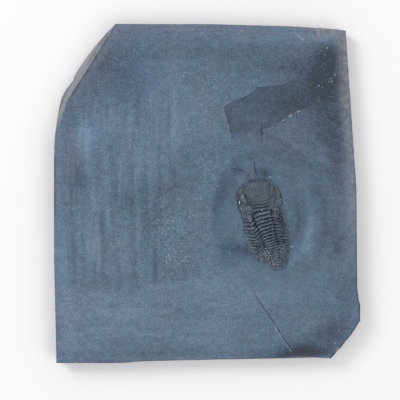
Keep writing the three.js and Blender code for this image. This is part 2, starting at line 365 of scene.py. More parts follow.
def hollow_share(place):
    """0 at the middle of the hollow and 1 at its rim, which wanders a little."""
    off = place - HOLLOW["middle"]
    share = math.hypot(off.x / HOLLOW["half"][0], off.y / HOLLOW["half"][1])
    return share * (1 + 0.05 * swell(place, 22, 1)) if share < 1.4 else share


def inside_by(point, line):
    """How far a point is inside a closed line, or minus how far it is outside."""
    odd = False
    for a, b in segments(line, closed=True):
        if (a.y > point.y) != (b.y > point.y):
            if point.x < a.x + (point.y - a.y) * (b.x - a.x) / (b.y - a.y):
                odd = not odd
    distance = away_from_line(point, line, closed=True)
    return distance if odd else -distance


def within(place, x_range, y_range):
    """Whether a place lies in an upright box given in mm."""
    return (x_range[0] * MM < place.x < x_range[1] * MM
            and y_range[0] * MM < place.y < y_range[1] * MM)


def scar_share(place):
    """1 on the scar's floor. The step fades out to the right and towards the hollow."""
    if not within(place, (7, 63), (25, 67)):
        return 0
    step = ramp(inside_by(place, SCAR), 0, SCAR_STEP) * ramp(place.y, 26.5 * MM, 38 * MM)
    return step * (1 - ramp(place.x + 0.6 * place.y, 78 * MM, 92 * MM))


def on_line(place, line, width):
    """1 on a line, falling to 0 at the width on either side."""
    return 1 - ramp(away_from_line(place, line), 0, width)


def crack_share(place):
    """1 at the bottom of a crack. The long one closes towards its upper end."""
    if within(place, (16, 50), (-90, -40)):
        opening = 0.15 + 0.25 * ramp(-place.y, 42 * MM, 50 * MM) + 0.6 * ramp(-place.y, 50 * MM, 66 * MM)
        return opening * on_line(place, CRACK, CRACK_WIDTH)
    if within(place, (28, 32), (28, 40)):
        return 0.8 * on_line(place, SHORT_CRACK, CRACK_WIDTH)
    return 0


def break_height(place, breaks=BROKEN):
    """Height of the lowest broken slope at a place, stepped like the leaves of the slate."""
    lowest = 1.0
    for corners in breaks:
        a, b, c = (Vector(corner) * MM for corner in corners)
        normal = (b - a).cross(c - a)
        height = a.z - ((place.x - a.x) * normal.x + (place.y - a.y) * normal.y) / normal.z
        lowest = min(lowest, height)
    if lowest < face_z:
        leaf = 0.75 * MM
        shifted = lowest + 0.5 * leaf * swell(place, 5, 4)
        stepped = (math.floor(shifted / leaf) + ramp(shifted / leaf % 1, 0.2, 0.9)) * leaf
        lowest = min(face_z, 0.35 * lowest + 0.65 * stepped + 0.12 * MM * swell(place, 1.7, 5))
    return lowest


def chip_depth(place):
    depth = 0
    for x, y, radius, deep in CHIPS:
        away = (place - Vector((x * MM, y * MM))).length / (radius * MM)
        if away < 1.6:
            ragged = away * (1 + 0.5 * swell(place, 0.9, 6))
            depth = max(depth, deep * MM * (1 - ramp(ragged, 0.3, 1.1)))
    return depth


print("hollow depth", HOLLOW["depth"] / MM, "mm, scar", SCAR_DEPTH / MM, "mm")

# %% Shape the face


def face_height(place, from_edge):
    """Height of the face at a place that is from_edge metres inside the outline."""
    share = hollow_share(place)
    ground_out = 1 - ramp(share, 0.83, 1.01)
    height = face_z
    height += 0.07 * MM * swell(place, 37, 2) + 0.035 * MM * swell(place, 11, 3)
    height += 0.016 * MM * swell(place, 2.6, 8)
    height -= HOLLOW["depth"] * ground_out
    if share < 1.25:  # the grinding went round and round, and left low ripples
        ripples = math.sin(26 * share + 2.5 * swell(place, 18, 9))
        height += 0.03 * MM * ripples * ramp(share, 0.35, 0.7) * (1 - ramp(share, 1, 1.25))
    height -= SCAR_DEPTH * scar_share(place)
    height -= CRACK_DEPTH * crack_share(place)
    wear = 0.13 + 0.12 * swell(place, 6, 10) + 0.06 * swell(place, 1.5, 11)
    height -= max(wear, 0.03) * MM * math.exp(-from_edge / (0.35 * MM))
    return min(height - chip_depth(place), break_height(place))


def outline_of(bm):
    """The edges where the face meets the sides."""
    return [e for e in bm.edges if len(e.link_faces) == 2
            and max(f.normal.z for f in e.link_faces) > 0.5
            and min(abs(f.normal.z) for f in e.link_faces) < 0.1]


def nearest_of(points):
    """A function that finds which of the points is nearest, seen from above, and how far."""
    tree = KDTree(len(points))
    for number, point in enumerate(points):
        tree.insert((point.x, point.y, 0), number)
    tree.balance()
    return lambda place: tree.find((place.x, place.y, 0))[1:]


def distance_from(points):
    """A function that tells how far a place is from the nearest of the points."""
    nearest = nearest_of(points)
    return lambda place: nearest(place)[1]


slice_up(slab, facing(slab, -0.5, 0.5), UP, steps(0, face_z, SIDE_NET) + [TOP_LEVEL])
top_corners = [v for v in slab.verts if v.co.z > face_z - NEARLY]
side_corners = [v for v in slab.verts if NEARLY < v.co.z < face_z - NEARLY]
back_corners = [v for v in slab.verts if v.co.z < NEARLY]
from_outline = distance_from([v.co for e in outline_of(slab) for v in e.verts])
for corner in top_corners:
    place = corner.co.xy
    corner.co.z = face_height(place, from_outline(place))
print("face from", round(min(v.co.z for v in top_corners) / MM, 2), "to",
      round(max(v.co.z for v in top_corners) / MM, 2), "mm")

# %% [markdown]
# ## Sides and back
# A saw cut the sides, and the saw and the weather left the slate's leaves standing out a
# little, one above the other. So every level of the sides is pushed in by its own small
# amount. The back is a natural split: broad, flat swells that never come lower than the
# surface the slab lies on.

# %% Shape the sides and the back


def inward(edge):
    """Sideways direction from an outline edge into the stone."""
    side = min(edge.link_faces, key=lambda f: abs(f.normal.z))
    return -Vector((side.normal.x, side.normal.y, 0)).normalized()


def columns(bm):
    """Finds, for a place on the sides, the face's height there and the way into the stone."""
    facts = [(corner.co.copy(), inward(edge)) for edge in outline_of(bm) for corner in edge.verts]
    nearest = nearest_of([top for top, _ in facts])
    return lambda place: facts[nearest(place)[0]]


def side_push(place, level, height):
    """How far a side is pushed in at a level: leaves of slate, a saw's waves, a soft lower rim."""
    leaf = swell(place, 14, 20 + round(height / (0.9 * MM)))
    waves = 0.06 * swell(place, 3, 12) + 0.05 * swell(place, 1.1, 13 + level)
    lower_rim = 0.35 * math.exp(-height / (0.5 * MM))
    return (0.1 + 0.1 * leaf + waves + lower_rim) * MM


def shape_sides(bm, corners):
    column = columns(bm)
    for corner in corners:
        place = corner.co.xy
        level = corner.co.z / face_z
        top, into = column(place)
        corner.co.z = level * top.z
        corner.co += into * max(0, side_push(place, round(10 * level), corner.co.z))


def shape_back(corners):
    for corner in corners:
        place = corner.co.xy
        split = 0.12 + 0.12 * swell(place, 28, 14) + 0.05 * swell(place, 8, 15)
        corner.co.z = max(0, split) * MM + 0.25 * MM * math.exp(-from_outline(place) / (0.8 * MM))


shape_sides(slab, side_corners)
shape_back(back_corners)
print("sides and back:", len(side_corners), "and", len(back_corners), "corners")

# %% [markdown]
# ## What the stone remembers
# The colour of the slate isn't even, and it isn't random either: it is darker where oil
# and hands touched it, paler where it was brushed, grey and rubbed along the edges and
# white where a thread of calcite filled a crack. Shade and light are painted in too:
# painted shade round the animal, in the cracks, along the side and bottom edges and on the
# hollow's upper-left wall, and painted light on its right wall. Painting this by hand on an
# image would tie it to that image. Instead each corner of the net stores seven numbers, and
# the material reads them: shade, rubbed, split, ground, calcite, speckled and tint.

# %% Store what happened to the stone in the net
PATCHES = (  # x, y, half width, half height, turn in degrees, strength (minus is darker)
    (-66, 66, 17, 9, 52, -0.35), (2, 78, 62, 4.5, 0, -0.2), (8, 89, 62, 3.2, 0, 0.12),
    (-47, 62, 14, 22, 0, -0.32), (67, 67, 9, 17, -6, -1.15), (57, 58, 13, 15, 0, -0.45),
    (43, 56, 26, 20, 0, -0.13), (26, 73, 20, 9, 0, -0.2), (69, 40, 9, 15, 0, -0.45),
    (56, -4, 21, 44, 0, -0.36), (4, 23, 24, 10, 0, -0.26), (71, 12, 5, 34, 0, -0.25),
    # (9, 0, ...) and (11.5, -20, ...) on this line are painted shade on the hollow's left wall
    (-29, 1, 14, 8, 0, -0.2), (9, 0, 6.5, 14, -12, -0.34), (11.5, -20, 9, 17, 0, -0.2),
    (16, -31, 8.5, 5, -8, -0.5), (22, -31.5, 4, 3, 0, -0.3), (25.5, -34, 4, 3, -35, -0.35),
    (32, 11, 5.5, 2.6, -20, -0.7), (24, 9.6, 3.4, 2.6, 0, -0.35), (23.5, 19.3, 1.7, 1.1, 0, -0.55),
    # the thin dark strips at y -88 to -92.6, on this line and the next, are painted shadow along the
    # bottom edge
    (18.6, 13, 5, 1.6, 10, -0.3), (52, -88, 20, 3, 2, -0.9), (54, -82, 14, 6, 10, -0.3),
    (-40, -92.6, 42, 0.8, 0, -0.5), (20, -91.6, 30, 1.2, 2, -0.5), (76, -58, 6, 14, 0, -0.25),
    (70, -75, 9, 9, 30, -0.6), (42, 69, 18, 5, 0, -0.36), (-71, 44, 6, 8, 0, -0.25),
    (-70, 8, 6, 7, 0, -0.25), (-43, -6, 7, 14, 0, -0.2), (-52, -63, 5, 5, 0, -0.3),
    (-26, -36, 6, 5, 0, -0.3), (-17, -23, 6, 9, 0, -0.2), (9, -37, 5, 5, 0, -0.25),
    (-17, 34, 5, 14, 0, 0.3), (-61, -31, 5, 9, 0, 0.25), (53, -16, 5, 10, 0, -0.2),
    (71, 16, 4, 9, 0, -0.35), (71, -28, 4, 9, 0, -0.35), (53, -86, 10, 4, 0, -0.5),
    (-75, -75, 5, 14, 0, 0.2), (-17, 5, 12, 9, 20, -0.15), (-31, -12, 9, 6, 0, -0.12),
    (48, 30, 20, 7, 0, -0.15), (-66, 30, 4.5, 12, 0, 0.4), (-53, 40, 7, 13, 0, 0.25),
    (-42, 36, 8, 15, 0, 0.2), (-4, 44, 13, 20, 0, 0.14), (-53, -59, 22, 9, -4, 0.2),
    (-64, -32, 8, 24, 0, 0.12), (-79, -58, 7, 34, 0, 0.3), (-37, -68, 26, 12, 0, 0.26),
    (-1, -53, 18, 16, 0, 0.18), (56, -26, 3, 14, 6, 0.3), (54, 6, 6, 3.4, 20, 0.2),
    (35, -56, 22, 8, 0, 0.12), (-66, -76, 18, 12, 0, 0.12), (20, 84, 20, 3, 0, 0.1),
    (63, 86, 18, 3.4, 0, 0.45), (-20, -88, 60, 2, 0, -0.2), (-50, 72, 12, 16, -30, -0.06),
    (75.5, 29, 4, 12, 0, -0.22), (14, 36, 9, 3, -30, -0.2),
)
TINTED = (  # the same for warm, mauve stone (plus) and bluer stone (minus)
    (0, 90, 62, 3.5, 0, 1.0), (-58, 70, 22, 5, 58, 1.1), (56, 80, 12, 6, 0, 0.5),
    (-77, 22, 5, 26, 0, 0.8), (74, 6, 5, 30, 0, 0.5), (42, 28, 9, 6, -20, 0.6), (24, 34, 6, 5, 0, 0.5),
    (24, 9.5, 3.4, 2.8, 0, 0.9), (18, -32, 11, 4.5, -8, -1.2), (32, 11, 6, 3, -20, -1.1),
    (18, 13, 6, 3, 0, -0.8), (9, 0, 7, 15, -12, -0.4), (23.5, 19.3, 2.4, 2, 0, -0.5),
    (-62, 36, 5, 16, 0, -0.5), (-38, 64, 16, 22, 0, -0.6), (52, -86, 20, 6, 0, -0.4),
)
SPECKLED = (  # the same for the fine white grain of the stone
    (-20, -16, 17, 14, 0, 0.9), (-16, -35, 11, 9, 0, 1), (0, 56, 7, 16, 0, 0.6), (1, 12, 5, 14, 0, 0.7),
    (66, 62, 9, 16, 0, 0.5), (-44, 36, 24, 16, 0, 0.35), (-61, 60, 6, 10, -30, 1.0),
    (0, 0, 90, 95, 0, 0.2),
)
BREAK_LINE = CREASES[0] + at((-77.5, 48))
SIDE_STRIP = 68 * MM  # beyond this on either side, the rim gets a painted shadow line and is not rubbed pale
VEIN = at((35.5, 36.9), (39.6, 38.4), (43.4, 41.2), (46.6, 43.3), (51.2, 45.6))
animal = [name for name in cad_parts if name.startswith(("head", "body", "tail"))]
from_animal = distance_from([v.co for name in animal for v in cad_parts[name].data.vertices])


def turned(off, degrees):
    """A step to the side, turned to the left."""
    off.rotate(Matrix.Rotation(math.radians(degrees), 2))
    return off


def patch_share(place, patch):
    x, y, half_width, half_height, turn, _ = patch
    off = place - Vector((x * MM, y * MM))
    if off.length > 2.3 * max(half_width, half_height) * MM:
        return 0
    off = turned(off, -turn)
    away = math.hypot(off.x / half_width, off.y / half_height) / MM
    return math.exp(-away * away * 1.1)


def patched(place, patches):
    """Sum of the patches at a place, with their borders pushed about so that none is an oval."""
    drift = Vector((swell(place, 9, 30), swell(place, 9, 31))) * 0.4
    drift += Vector((swell(place, 3, 32), swell(place, 3, 33))) * 0.14
    total = 0
    for patch in patches:
        moved = place + drift * min(patch[2], patch[3], 9) * MM
        total += patch[5] * patch_share(moved, patch)
    return total


def shade_at(place, from_edge):
    """How dark (minus) or pale (plus) the stone is: patches, the hollow's painted shade and light,
    painted shade round the animal and in the cracks, and a painted shadow line along the side edges.
    """
    # painted shade: darker where the stone meets the animal
    contact_shade = math.exp(-from_animal(place) / (0.6 * MM)) * (0.8 + 0.9 * swell(place, 1.6, 34))
    crease = hump(away_from_line(place, BREAK_LINE), 0.2 * MM, 0.7 * MM)
    crease *= (0.7 + swell(place, 4, 35)) * ramp(place.y, 46 * MM, 60 * MM)
    # painted shadow: a thin dark line along the left and right edges
    on_left = ramp(20 * MM - abs(place.y - 4 * MM), 0, 6 * MM)
    edge_shadow_span = on_left if place.x < 0 else ramp(-place.y, -22 * MM, -8 * MM)
    rim = math.exp(-from_edge / (0.4 * MM)) * edge_shadow_span * (abs(place.x) > SIDE_STRIP)
    # the cracks are darkened as painted shade
    return (patched(place, PATCHES) + hollow_shade(place) - 0.5 * scar_share(place)
            - 0.6 * max(contact_shade, 0) - 1.5 * crack_share(place) - 0.75 * crease - 0.9 * rim)


def hollow_shade(place):
    """Painted shade on the hollow's upper-left wall, and on the right painted light where the wall faces
    the lamp, between darker rings left by the grinder.
    """
    share = hollow_share(place)
    if share > 1.3:
        return 0
    off = place - HOLLOW["middle"]
    turn = math.degrees(math.atan2(off.y, off.x))
    left = max(0, math.cos(math.radians(turn - 155))) ** 2
    right = max(0, math.cos(math.radians(turn + 12))) ** 2
    # painted shade on the upper-left wall, with a paler line just outside its rim; painted light in the
    # pale ring on the right
    left_wall_shade = 0.12 * hump(share, 1.04, 0.03) - 0.14 * hump(share, 0.91, 0.12)
    lit_right_bands = 0.42 * hump(share, 0.71, 0.08) - 0.28 * hump(share, 0.5, 0.04) - 0.3 * hump(share, 0.95, 0.05)
    return left * left_wall_shade + right * lit_right_bands


def rubbed_at(place, from_edge):
    """Grey, rubbed stone: the right edge, the top right rim, by the break, a hair elsewhere."""
    upright = Vector((place.x * 3, place.y))
    patchy = 0.75 + 0.5 * swell(place, 3, 16) + 0.35 * swell(upright, 2, 19)
    right = (1 - ramp(from_edge, 0.5 * MM, 8.5 * MM)) * (place.x > 60 * MM)
    right *= 0.62 * ramp(place.y, -50 * MM, -5 * MM) + 0.38 * ramp(place.y, 20 * MM, 52 * MM)
    top = (1 - ramp(from_edge, 0.5 * MM, 2.4 * MM)) * (place.y > 80 * MM)
    top *= ramp(place.x, 35 * MM, 66 * MM)
    from_break = away_from_line(place, BREAK_LINE)
    near_break = 0.24 * (1 - ramp(from_break, MM, 6 * MM)) + 0.14 * hump(from_break, 2.3 * MM, 0.8 * MM)
    near_break *= ramp(place.y, 46 * MM, 62 * MM)
    scar_lip = 0.6 * hump(inside_by(place, SCAR), -0.25 * MM, 0.3 * MM) if place.x < 13 * MM else 0
    rim = math.exp(-from_edge / (0.7 * MM)) * (0.3 + 0.5 * swell(place, 9, 17))
    rim *= abs(place.x) < SIDE_STRIP
    worn = max(right, top, near_break) * patchy
    return min(1, max(worn, rim, 0.8 * chip_depth(place) / MM, scar_lip, 0))


def split_at(place):
    """1 on the two breaks at the upper left, where the leaves of the slate show."""
    return ramp(face_z - break_height(place, BROKEN[:2]), 0.1 * MM, 1.0 * MM)


def ground_at(place):
    return max(1 - ramp(hollow_share(place), 0.9, 1.15), scar_share(place))


def calcite_at(place):
    gaps = ramp(swell(place, 1.5, 18), -0.4, 0.2)
    if within(place, (33, 54), (34, 48)):
        bright = 0.15 + 0.75 * ramp(place.x, 38 * MM, 46 * MM)
        return bright * gaps * on_line(place, VEIN, 0.42 * MM)
    if within(place, (46, 56), (83, 90)):
        return 0.4 * on_line(place, SCRATCH, CRACK_WIDTH)
    if within(place, (37, 50), (-89, -70)):
        beside = place + Vector((0.5 * MM, 0.3 * MM))
        return 0.28 * gaps * on_line(beside, CRACK, 0.4 * MM)
    return 0


def store(bm):
    names = ("shade", "rubbed", "split", "ground", "calcite", "speckled", "tint")
    layers = [bm.verts.layers.float.new(name) for name in names]
    for corner in bm.verts:
        place = corner.co.xy
        from_edge = from_outline(place)
        values = (shade_at(place, from_edge), rubbed_at(place, from_edge), split_at(place),
                  ground_at(place), calcite_at(place), patched(place, SPECKLED), patched(place, TINTED))
        for layer, value in zip(layers, values):
            corner[layer] = value
    return names


print("stored:", store(slab))

# %% [markdown]
# ## Shared surface effects
# Four effects are wanted again and again, so each is made once, as a node group with its
# own knobs: mottling, which mixes tones in clouds of three sizes; streaks, which are clouds
# pulled long by a brush or a saw; grain, the fine tooth of the stone, which only gives a
# height for the bump; and tinting, which turns a colour warmer or cooler where a stored
# number says so.

# %% Node groups for mottling, streaks, grain and tinting
FLOAT, VECTOR, COLOUR = "NodeSocketFloat", "NodeSocketVector", "NodeSocketColor"


def node_group(name, inputs, output, kind):
    """An empty group. Each of its inputs is given by name, kind and value."""
    group = bpy.data.node_groups.new(name, "ShaderNodeTree")
    for socket, socket_kind, value in inputs:
        made = group.interface.new_socket(socket, in_out="INPUT", socket_type=socket_kind)
        if value is not None:
            made.default_value = value
    group.interface.new_socket(output, in_out="OUTPUT", socket_type=kind)
    group.nodes.new("NodeGroupOutput").name = "out"
    return group, group.nodes.new("NodeGroupInput").outputs


def feed(tree, socket, value):
    """Sets an input to a value, or links it if the value is another node's output."""
    if isinstance(value, bpy.types.NodeSocket):
        tree.links.new(value, socket)
    else:
        socket.default_value = value


def feed_all(tree, made, **values):
    """Feeds a node's inputs by their names. Base_Color stands for the input Base Color."""
    for name, value in values.items():
        feed(tree, made.inputs[name.replace("_", " ")], value)


def node(tree, kind, settings=None, **values):
    """A new node, with some settings and with its inputs fed."""
    made = tree.nodes.new(kind)
    for name, setting in (settings or {}).items():
        setattr(made, name, setting)
    feed_all(tree, made, **values)
    return made


def math_node(tree, operation, *values):
    """A Math node. Each value is a number or another node's output."""
    made = node(tree, "ShaderNodeMath", {"operation": operation})
    for socket, value in zip(made.inputs, values):
        feed(tree, socket, value)
    return made.outputs[0]


def times(tree, a, b):
    return math_node(tree, "MULTIPLY", a, b)


def plus(tree, a, b):
    return math_node(tree, "ADD", a, b)


def minus(tree, a, b):
    return math_node(tree, "SUBTRACT", a, b)


def mix_colour(tree, share, a, b, blend="MIX"):
    made = node(tree, "ShaderNodeMix", {"data_type": "RGBA", "blend_type": blend})
    for number, value in ((0, share), (6, a), (7, b)):
        feed(tree, made.inputs[number], value)
    return made.outputs[2]


def clouds(tree, vector, scale, detail=3, roughness=0.55):
    made = node(tree, "ShaderNodeTexNoise", Vector=vector, Scale=scale, Detail=detail,
                Roughness=roughness)
    return made.outputs["Fac"]


def make_mottle():
    """Value around 0, from clouds of three sizes, for mixing tones."""
    knobs = (("Vector", VECTOR, None), ("Large", FLOAT, 1), ("Middle", FLOAT, 1), ("Small", FLOAT, 1))
    tree, given = node_group("mottle", knobs, "Value", FLOAT)
    total = 0
    for name, scale, detail in (("Large", 45, 3), ("Middle", 300, 3), ("Small", 1000, 4)):
        centred = minus(tree, clouds(tree, given["Vector"], scale, detail, 0.6), 0.5)
        total = plus(tree, total, times(tree, centred, given[name]))
    feed_all(tree, tree.nodes["out"], Value=total)
    return tree


def make_streaks():
    """Value around 0, from clouds pulled long by the Pull vector."""
    knobs = (("Vector", VECTOR, None), ("Pull", VECTOR, (1, 1, 1)), ("Scale", FLOAT, 100))
    tree, given = node_group("streaks", knobs, "Value", FLOAT)
    pulled = node(tree, "ShaderNodeVectorMath", {"operation": "MULTIPLY"})
    feed(tree, pulled.inputs[0], given["Vector"])
    feed(tree, pulled.inputs[1], given["Pull"])
    cloud = clouds(tree, pulled.outputs[0], given["Scale"], 4, 0.6)
    feed_all(tree, tree.nodes["out"], Value=minus(tree, cloud, 0.5))
    return tree


def make_grain():
    """Height of the fine tooth of a stone, for a Bump node."""
    knobs = (("Vector", VECTOR, None), ("Size", FLOAT, 1))
    tree, given = node_group("grain", knobs, "Height", FLOAT)
    scaled = node(tree, "ShaderNodeVectorMath", {"operation": "SCALE"}, Vector=given["Vector"],
                  Scale=math_node(tree, "DIVIDE", 1, given["Size"])).outputs[0]
    tooth = clouds(tree, scaled, 1500, 5, 0.65)
    pits = node(tree, "ShaderNodeTexVoronoi", Scale=1100, Vector=scaled)
    in_pit = math_node(tree, "LESS_THAN", pits.outputs["Distance"], 0.22)
    feed_all(tree, tree.nodes["out"], Height=minus(tree, tooth, times(tree, in_pit, 0.5)))
    return tree


def make_tinting():
    """A colour, multiplied by Low where Tint is -1 and by High where it is 1."""
    knobs = (("Colour", COLOUR, None), ("Tint", FLOAT, 0), ("Low", COLOUR, None), ("High", COLOUR, None))
    tree, given = node_group("tinting", knobs, "Colour", COLOUR)
    below = math_node(tree, "MAXIMUM", times(tree, given["Tint"], -1), 0)
    above = math_node(tree, "MAXIMUM", given["Tint"], 0)
    lowered = mix_colour(tree, below, given["Colour"], given["Low"], "MULTIPLY")
    raised = mix_colour(tree, above, lowered, given["High"], "MULTIPLY")
    feed_all(tree, tree.nodes["out"], Colour=raised)
    return tree


MOTTLE, STREAKS, GRAIN, TINTING = make_mottle(), make_streaks(), make_grain(), make_tinting()


def place_group(tree, group, **values):
    return node(tree, "ShaderNodeGroup", {"node_tree": group}, **values).outputs[0]


def tinted(tree, colour, tint, low, high):
    return place_group(tree, TINTING, Colour=colour, Tint=tint, Low=(*low, 1), High=(*high, 1))


print("groups:", [g.name for g in bpy.data.node_groups])

# %% [markdown]
# ## The slate
# Slate is blue-grey and nearly matt. Its colour comes from one ramp, from the dark oiled
# tone to the pale brushed one. The stored shade says roughly where on the ramp a place is,
# and mottling and three fields of brush marks (upright on the left, level at the lower
# left, slanting right of the hollow) move it a little. Warm and greenish clouds keep it from
# looking like painted metal. Over that lie white specks, the rubbed edges, the split leaves
# and the calcite, and a grain that is weaker where the stone was ground.

# %% Slate material


def material(name):
    made = bpy.data.materials.new(name)
    made.use_nodes = True
    tree = made.node_tree
    place = tree.nodes.new("ShaderNodeTexCoord").outputs["Object"]
    return made, tree, tree.nodes["Principled BSDF"], place


def bump(tree, height, strength, distance):
    made = node(tree, "ShaderNodeBump", Strength=strength, Distance=distance, Height=height)
    return made.outputs["Normal"]


def stored(tree, name):
    return node(tree, "ShaderNodeAttribute", {"attribute_name": name}).outputs["Fac"]


def ramp_node(tree, value, *stops):
    """A Color Ramp through (position, (r, g, b)) stops."""
    made = node(tree, "ShaderNodeValToRGB", Fac=value)
    ramp_points = made.color_ramp.elements
    while len(ramp_points) < len(stops):
        ramp_points.new(0.5)
    for point, (position, colour) in zip(ramp_points, stops):
        point.position = position
        point.color = (*colour, 1)
    return made.outputs["Color"]


def soft_step(tree, value, low, high):
    """0 below low, 1 above high and a straight slope between."""
    made = node(tree, "ShaderNodeMapRange", {"clamp": True}, Value=value, From_Min=low, From_Max=high)
    return made.outputs["Result"]


def soft_box(tree, coordinate, low, high, border):
    """1 between low and high of a coordinate, falling to 0 over the border."""
    rise = math_node(tree, "DIVIDE", minus(tree, coordinate, low), border)
    fall = math_node(tree, "DIVIDE", minus(tree, high, coordinate), border)
    both = math_node(tree, "MINIMUM", rise, fall)
    return math_node(tree, "MINIMUM", math_node(tree, "MAXIMUM", both, 0), 1)


def brushed(tree, place, pull, scale, x_range, y_range, strength, turn=0):
    """Streaks that only show in one part of the face, turned by some degrees."""
    apart = node(tree, "ShaderNodeSeparateXYZ", Vector=place)
    rotated = node(tree, "ShaderNodeVectorRotate", {"rotation_type": "Z_AXIS"}, Vector=place,
                   Angle=math.radians(-turn))
    streaks = place_group(tree, STREAKS, Vector=rotated.outputs[0], Pull=pull, Scale=scale)
    across = soft_box(tree, apart.outputs["X"], *x_range, BRUSH_BORDER)
    along = soft_box(tree, apart.outputs["Y"], *y_range, BRUSH_BORDER)
    return times(tree, times(tree, streaks, times(tree, across, along)), strength)


SLATE_DARK = (0.034, 0.043, 0.061)
SLATE_DEEP = (0.062, 0.092, 0.143)
SLATE = (0.097, 0.147, 0.216)
SLATE_PALE = (0.195, 0.275, 0.375)
BRUSH_BORDER = 14 * MM  # how softly a field of brush marks ends


def make_slate():
    slate, tree, shader, place = material("blue_grey_slate")
    smooth = minus(tree, 1, times(tree, stored(tree, "ground"), 0.3))
    mottle = place_group(tree, MOTTLE, Vector=place, Large=0.4, Middle=0.55, Small=1.1)
    upright = brushed(tree, place, (1, 0.09, 1), 230, (-0.09, -0.008), (-0.055, 0.06), 0.8)
    slanting = brushed(tree, place, (0.1, 1, 1), 190, (0.02, 0.09), (0.002, 0.045), 0.6, -27)
    level = brushed(tree, place, (0.12, 1, 1), 130, (-0.09, 0.02), (-0.1, -0.03), 0.4)
    tone = times(tree, mottle, smooth)
    for part in (upright, slanting, level, times(tree, stored(tree, "shade"), 0.5)):
        tone = plus(tree, tone, part)
    colour = ramp_node(tree, plus(tree, tone, 0.5),
                       (0, SLATE_DARK), (0.25, SLATE_DEEP), (0.5, SLATE), (1, SLATE_PALE))
    colour = tinted(tree, colour, stored(tree, "tint"), (0.80, 0.96, 1.04), (1.20, 0.99, 0.95))
    for scale, warm, cool in ((55, (1.06, 0.985, 0.98), (0.95, 1.02, 1.01)),
                              (520, (1.04, 0.985, 1.02), (0.96, 1.015, 0.99))):
        tint = ramp_node(tree, clouds(tree, place, scale, 3), (0.35, warm), (0.65, cool))
        colour = mix_colour(tree, 1.0, colour, tint, "MULTIPLY")
    specks = soft_step(tree, clouds(tree, place, 1150, 2, 0.6), 0.62, 0.71)
    specks = times(tree, specks, stored(tree, "speckled"))
    colour = mix_colour(tree, times(tree, specks, 0.85), colour, (0.34, 0.44, 0.50, 1))
    rubbed = ramp_node(tree, clouds(tree, place, 420, 4, 0.7), (0.3, (0.13, 0.14, 0.17)),
                       (0.7, (0.33, 0.32, 0.335)))
    colour = mix_colour(tree, stored(tree, "rubbed"), colour, rubbed)
    leaves = place_group(tree, STREAKS, Vector=place, Pull=(0.05, 0.05, 1), Scale=480)
    leaves = plus(tree, math_node(tree, "MULTIPLY_ADD", mottle, 0.35, leaves), 0.5)
    leaves = ramp_node(tree, leaves, (0.36, (0.09, 0.09, 0.13)), (0.47, (0.205, 0.212, 0.255)),
                       (0.58, (0.25, 0.268, 0.275)))
    colour = mix_colour(tree, stored(tree, "split"), colour, leaves)
    colour = mix_colour(tree, stored(tree, "calcite"), colour, (0.62, 0.68, 0.72, 1))
    polish = math_node(tree, "MULTIPLY_ADD", stored(tree, "ground"), -0.08, 0.72)
    tooth = times(tree, place_group(tree, GRAIN, Vector=place, Size=1), smooth)
    feed_all(tree, shader, Base_Color=colour, Specular_IOR_Level=0.35,
             Roughness=math_node(tree, "MULTIPLY_ADD", mottle, 0.3, polish),
             Normal=bump(tree, tooth, 0.35, 0.12 * MM))
    return slate


def finish_piece(name, bm, finish, slot, *nodes):
    """Makes the object, gives it its finish, hangs it on the root and hides the nodes that it stands for.
    """
    mesh = bpy.data.meshes.new(name)
    bm.to_mesh(mesh)
    bm.free()
    mesh.shade_smooth()
    mesh.materials.append(finish)
    piece = bpy.data.objects.new(name, mesh)
    scene.collection.objects.link(piece)
    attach(piece, "root")
    if nodes:
        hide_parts(*nodes)
    return piece


slab_piece = finish_piece("slate", slab, make_slate(), "slate", "slate_slab")
print("slate:", sum(len(p.vertices) - 2 for p in slab_piece.data.polygons), "triangles")

# %% [markdown]
# ## How the animal lies
# The shell isn't one sheet. It grew as thirteen plates: a head shield, eleven body rings
# and a tail shield, hinged on each other like the tail of a lobster. Each plate is made on
# its own, flat on the table with its back line along Y, and then set down at its station.
# The stations are found by stepping back from the neck, ring by ring, on a line that bows
# a little to the right. The animal is rolled to its left, so its left side looks wider.

# %% Stations along the back
FLOOR_Z = face_z - HOLLOW["depth"]
NECK = (30.4, -9.7)
HEADING = {"head": 9.5, "first_ring": 14.5, "bow": 4.6, "tail": 16}  # degrees, to the left
BOW_RINGS = 14  # how many rings the whole bow would take
RINGS = 11
PITCH = (2.2, 1.4)  # mm from ring to ring, at the front and at the rear
SEAM = 0.3
HEAD = {"length": 17.6, "half_width": 12, "widest_at": 7.4, "roll": 0.06}
TAIL = {"length": 14.1, "half_width": 9.5, "widest_at": 10, "roll": 0.15}


def lerp(a, b, t):
    return a + (b - a) * t


def moved_to(x, y, z):
    return Matrix.Translation(Vector((x, y, z)) * MM)


def turned_by(degrees, axis="Z"):
    return Matrix.Rotation(math.radians(degrees), 4, axis)


def station(x, y, degrees):
    """Where a plate is set down: its place on the hollow's floor and its turn."""
    return Matrix.Translation((x * MM, y * MM, FLOOR_Z)) @ turned_by(degrees)


def stations():
    """The stations of the rings, front to rear, and of the tail, each with its pitch."""
    x, y = NECK
    found = []
    for number in range(RINGS + 1):
        last = number == RINGS
        degrees = HEADING["first_ring"] + HEADING["bow"] * math.sin(math.pi * number / BOW_RINGS)
        degrees = HEADING["tail"] if last else degrees
        step = TAIL["length"] + SEAM if last else lerp(*PITCH, number / (RINGS - 1))
        x += step * math.sin(math.radians(degrees))
        y -= step * math.cos(math.radians(degrees))
        found.append((station(x, y, degrees), step))
    return found


def rolled(x, share):
    """Makes the left side wider than the right by a share."""
    return x * (1 + share if x < 0 else 1 - share)


def flank_run(x):
    """The flanks run to the rear as far as their bend and then curve forward to the tip."""
    return 0.11 * max(abs(x) - 8, 0) ** 2 - 2.2 * ramp(abs(x), 2.5, 8.5)


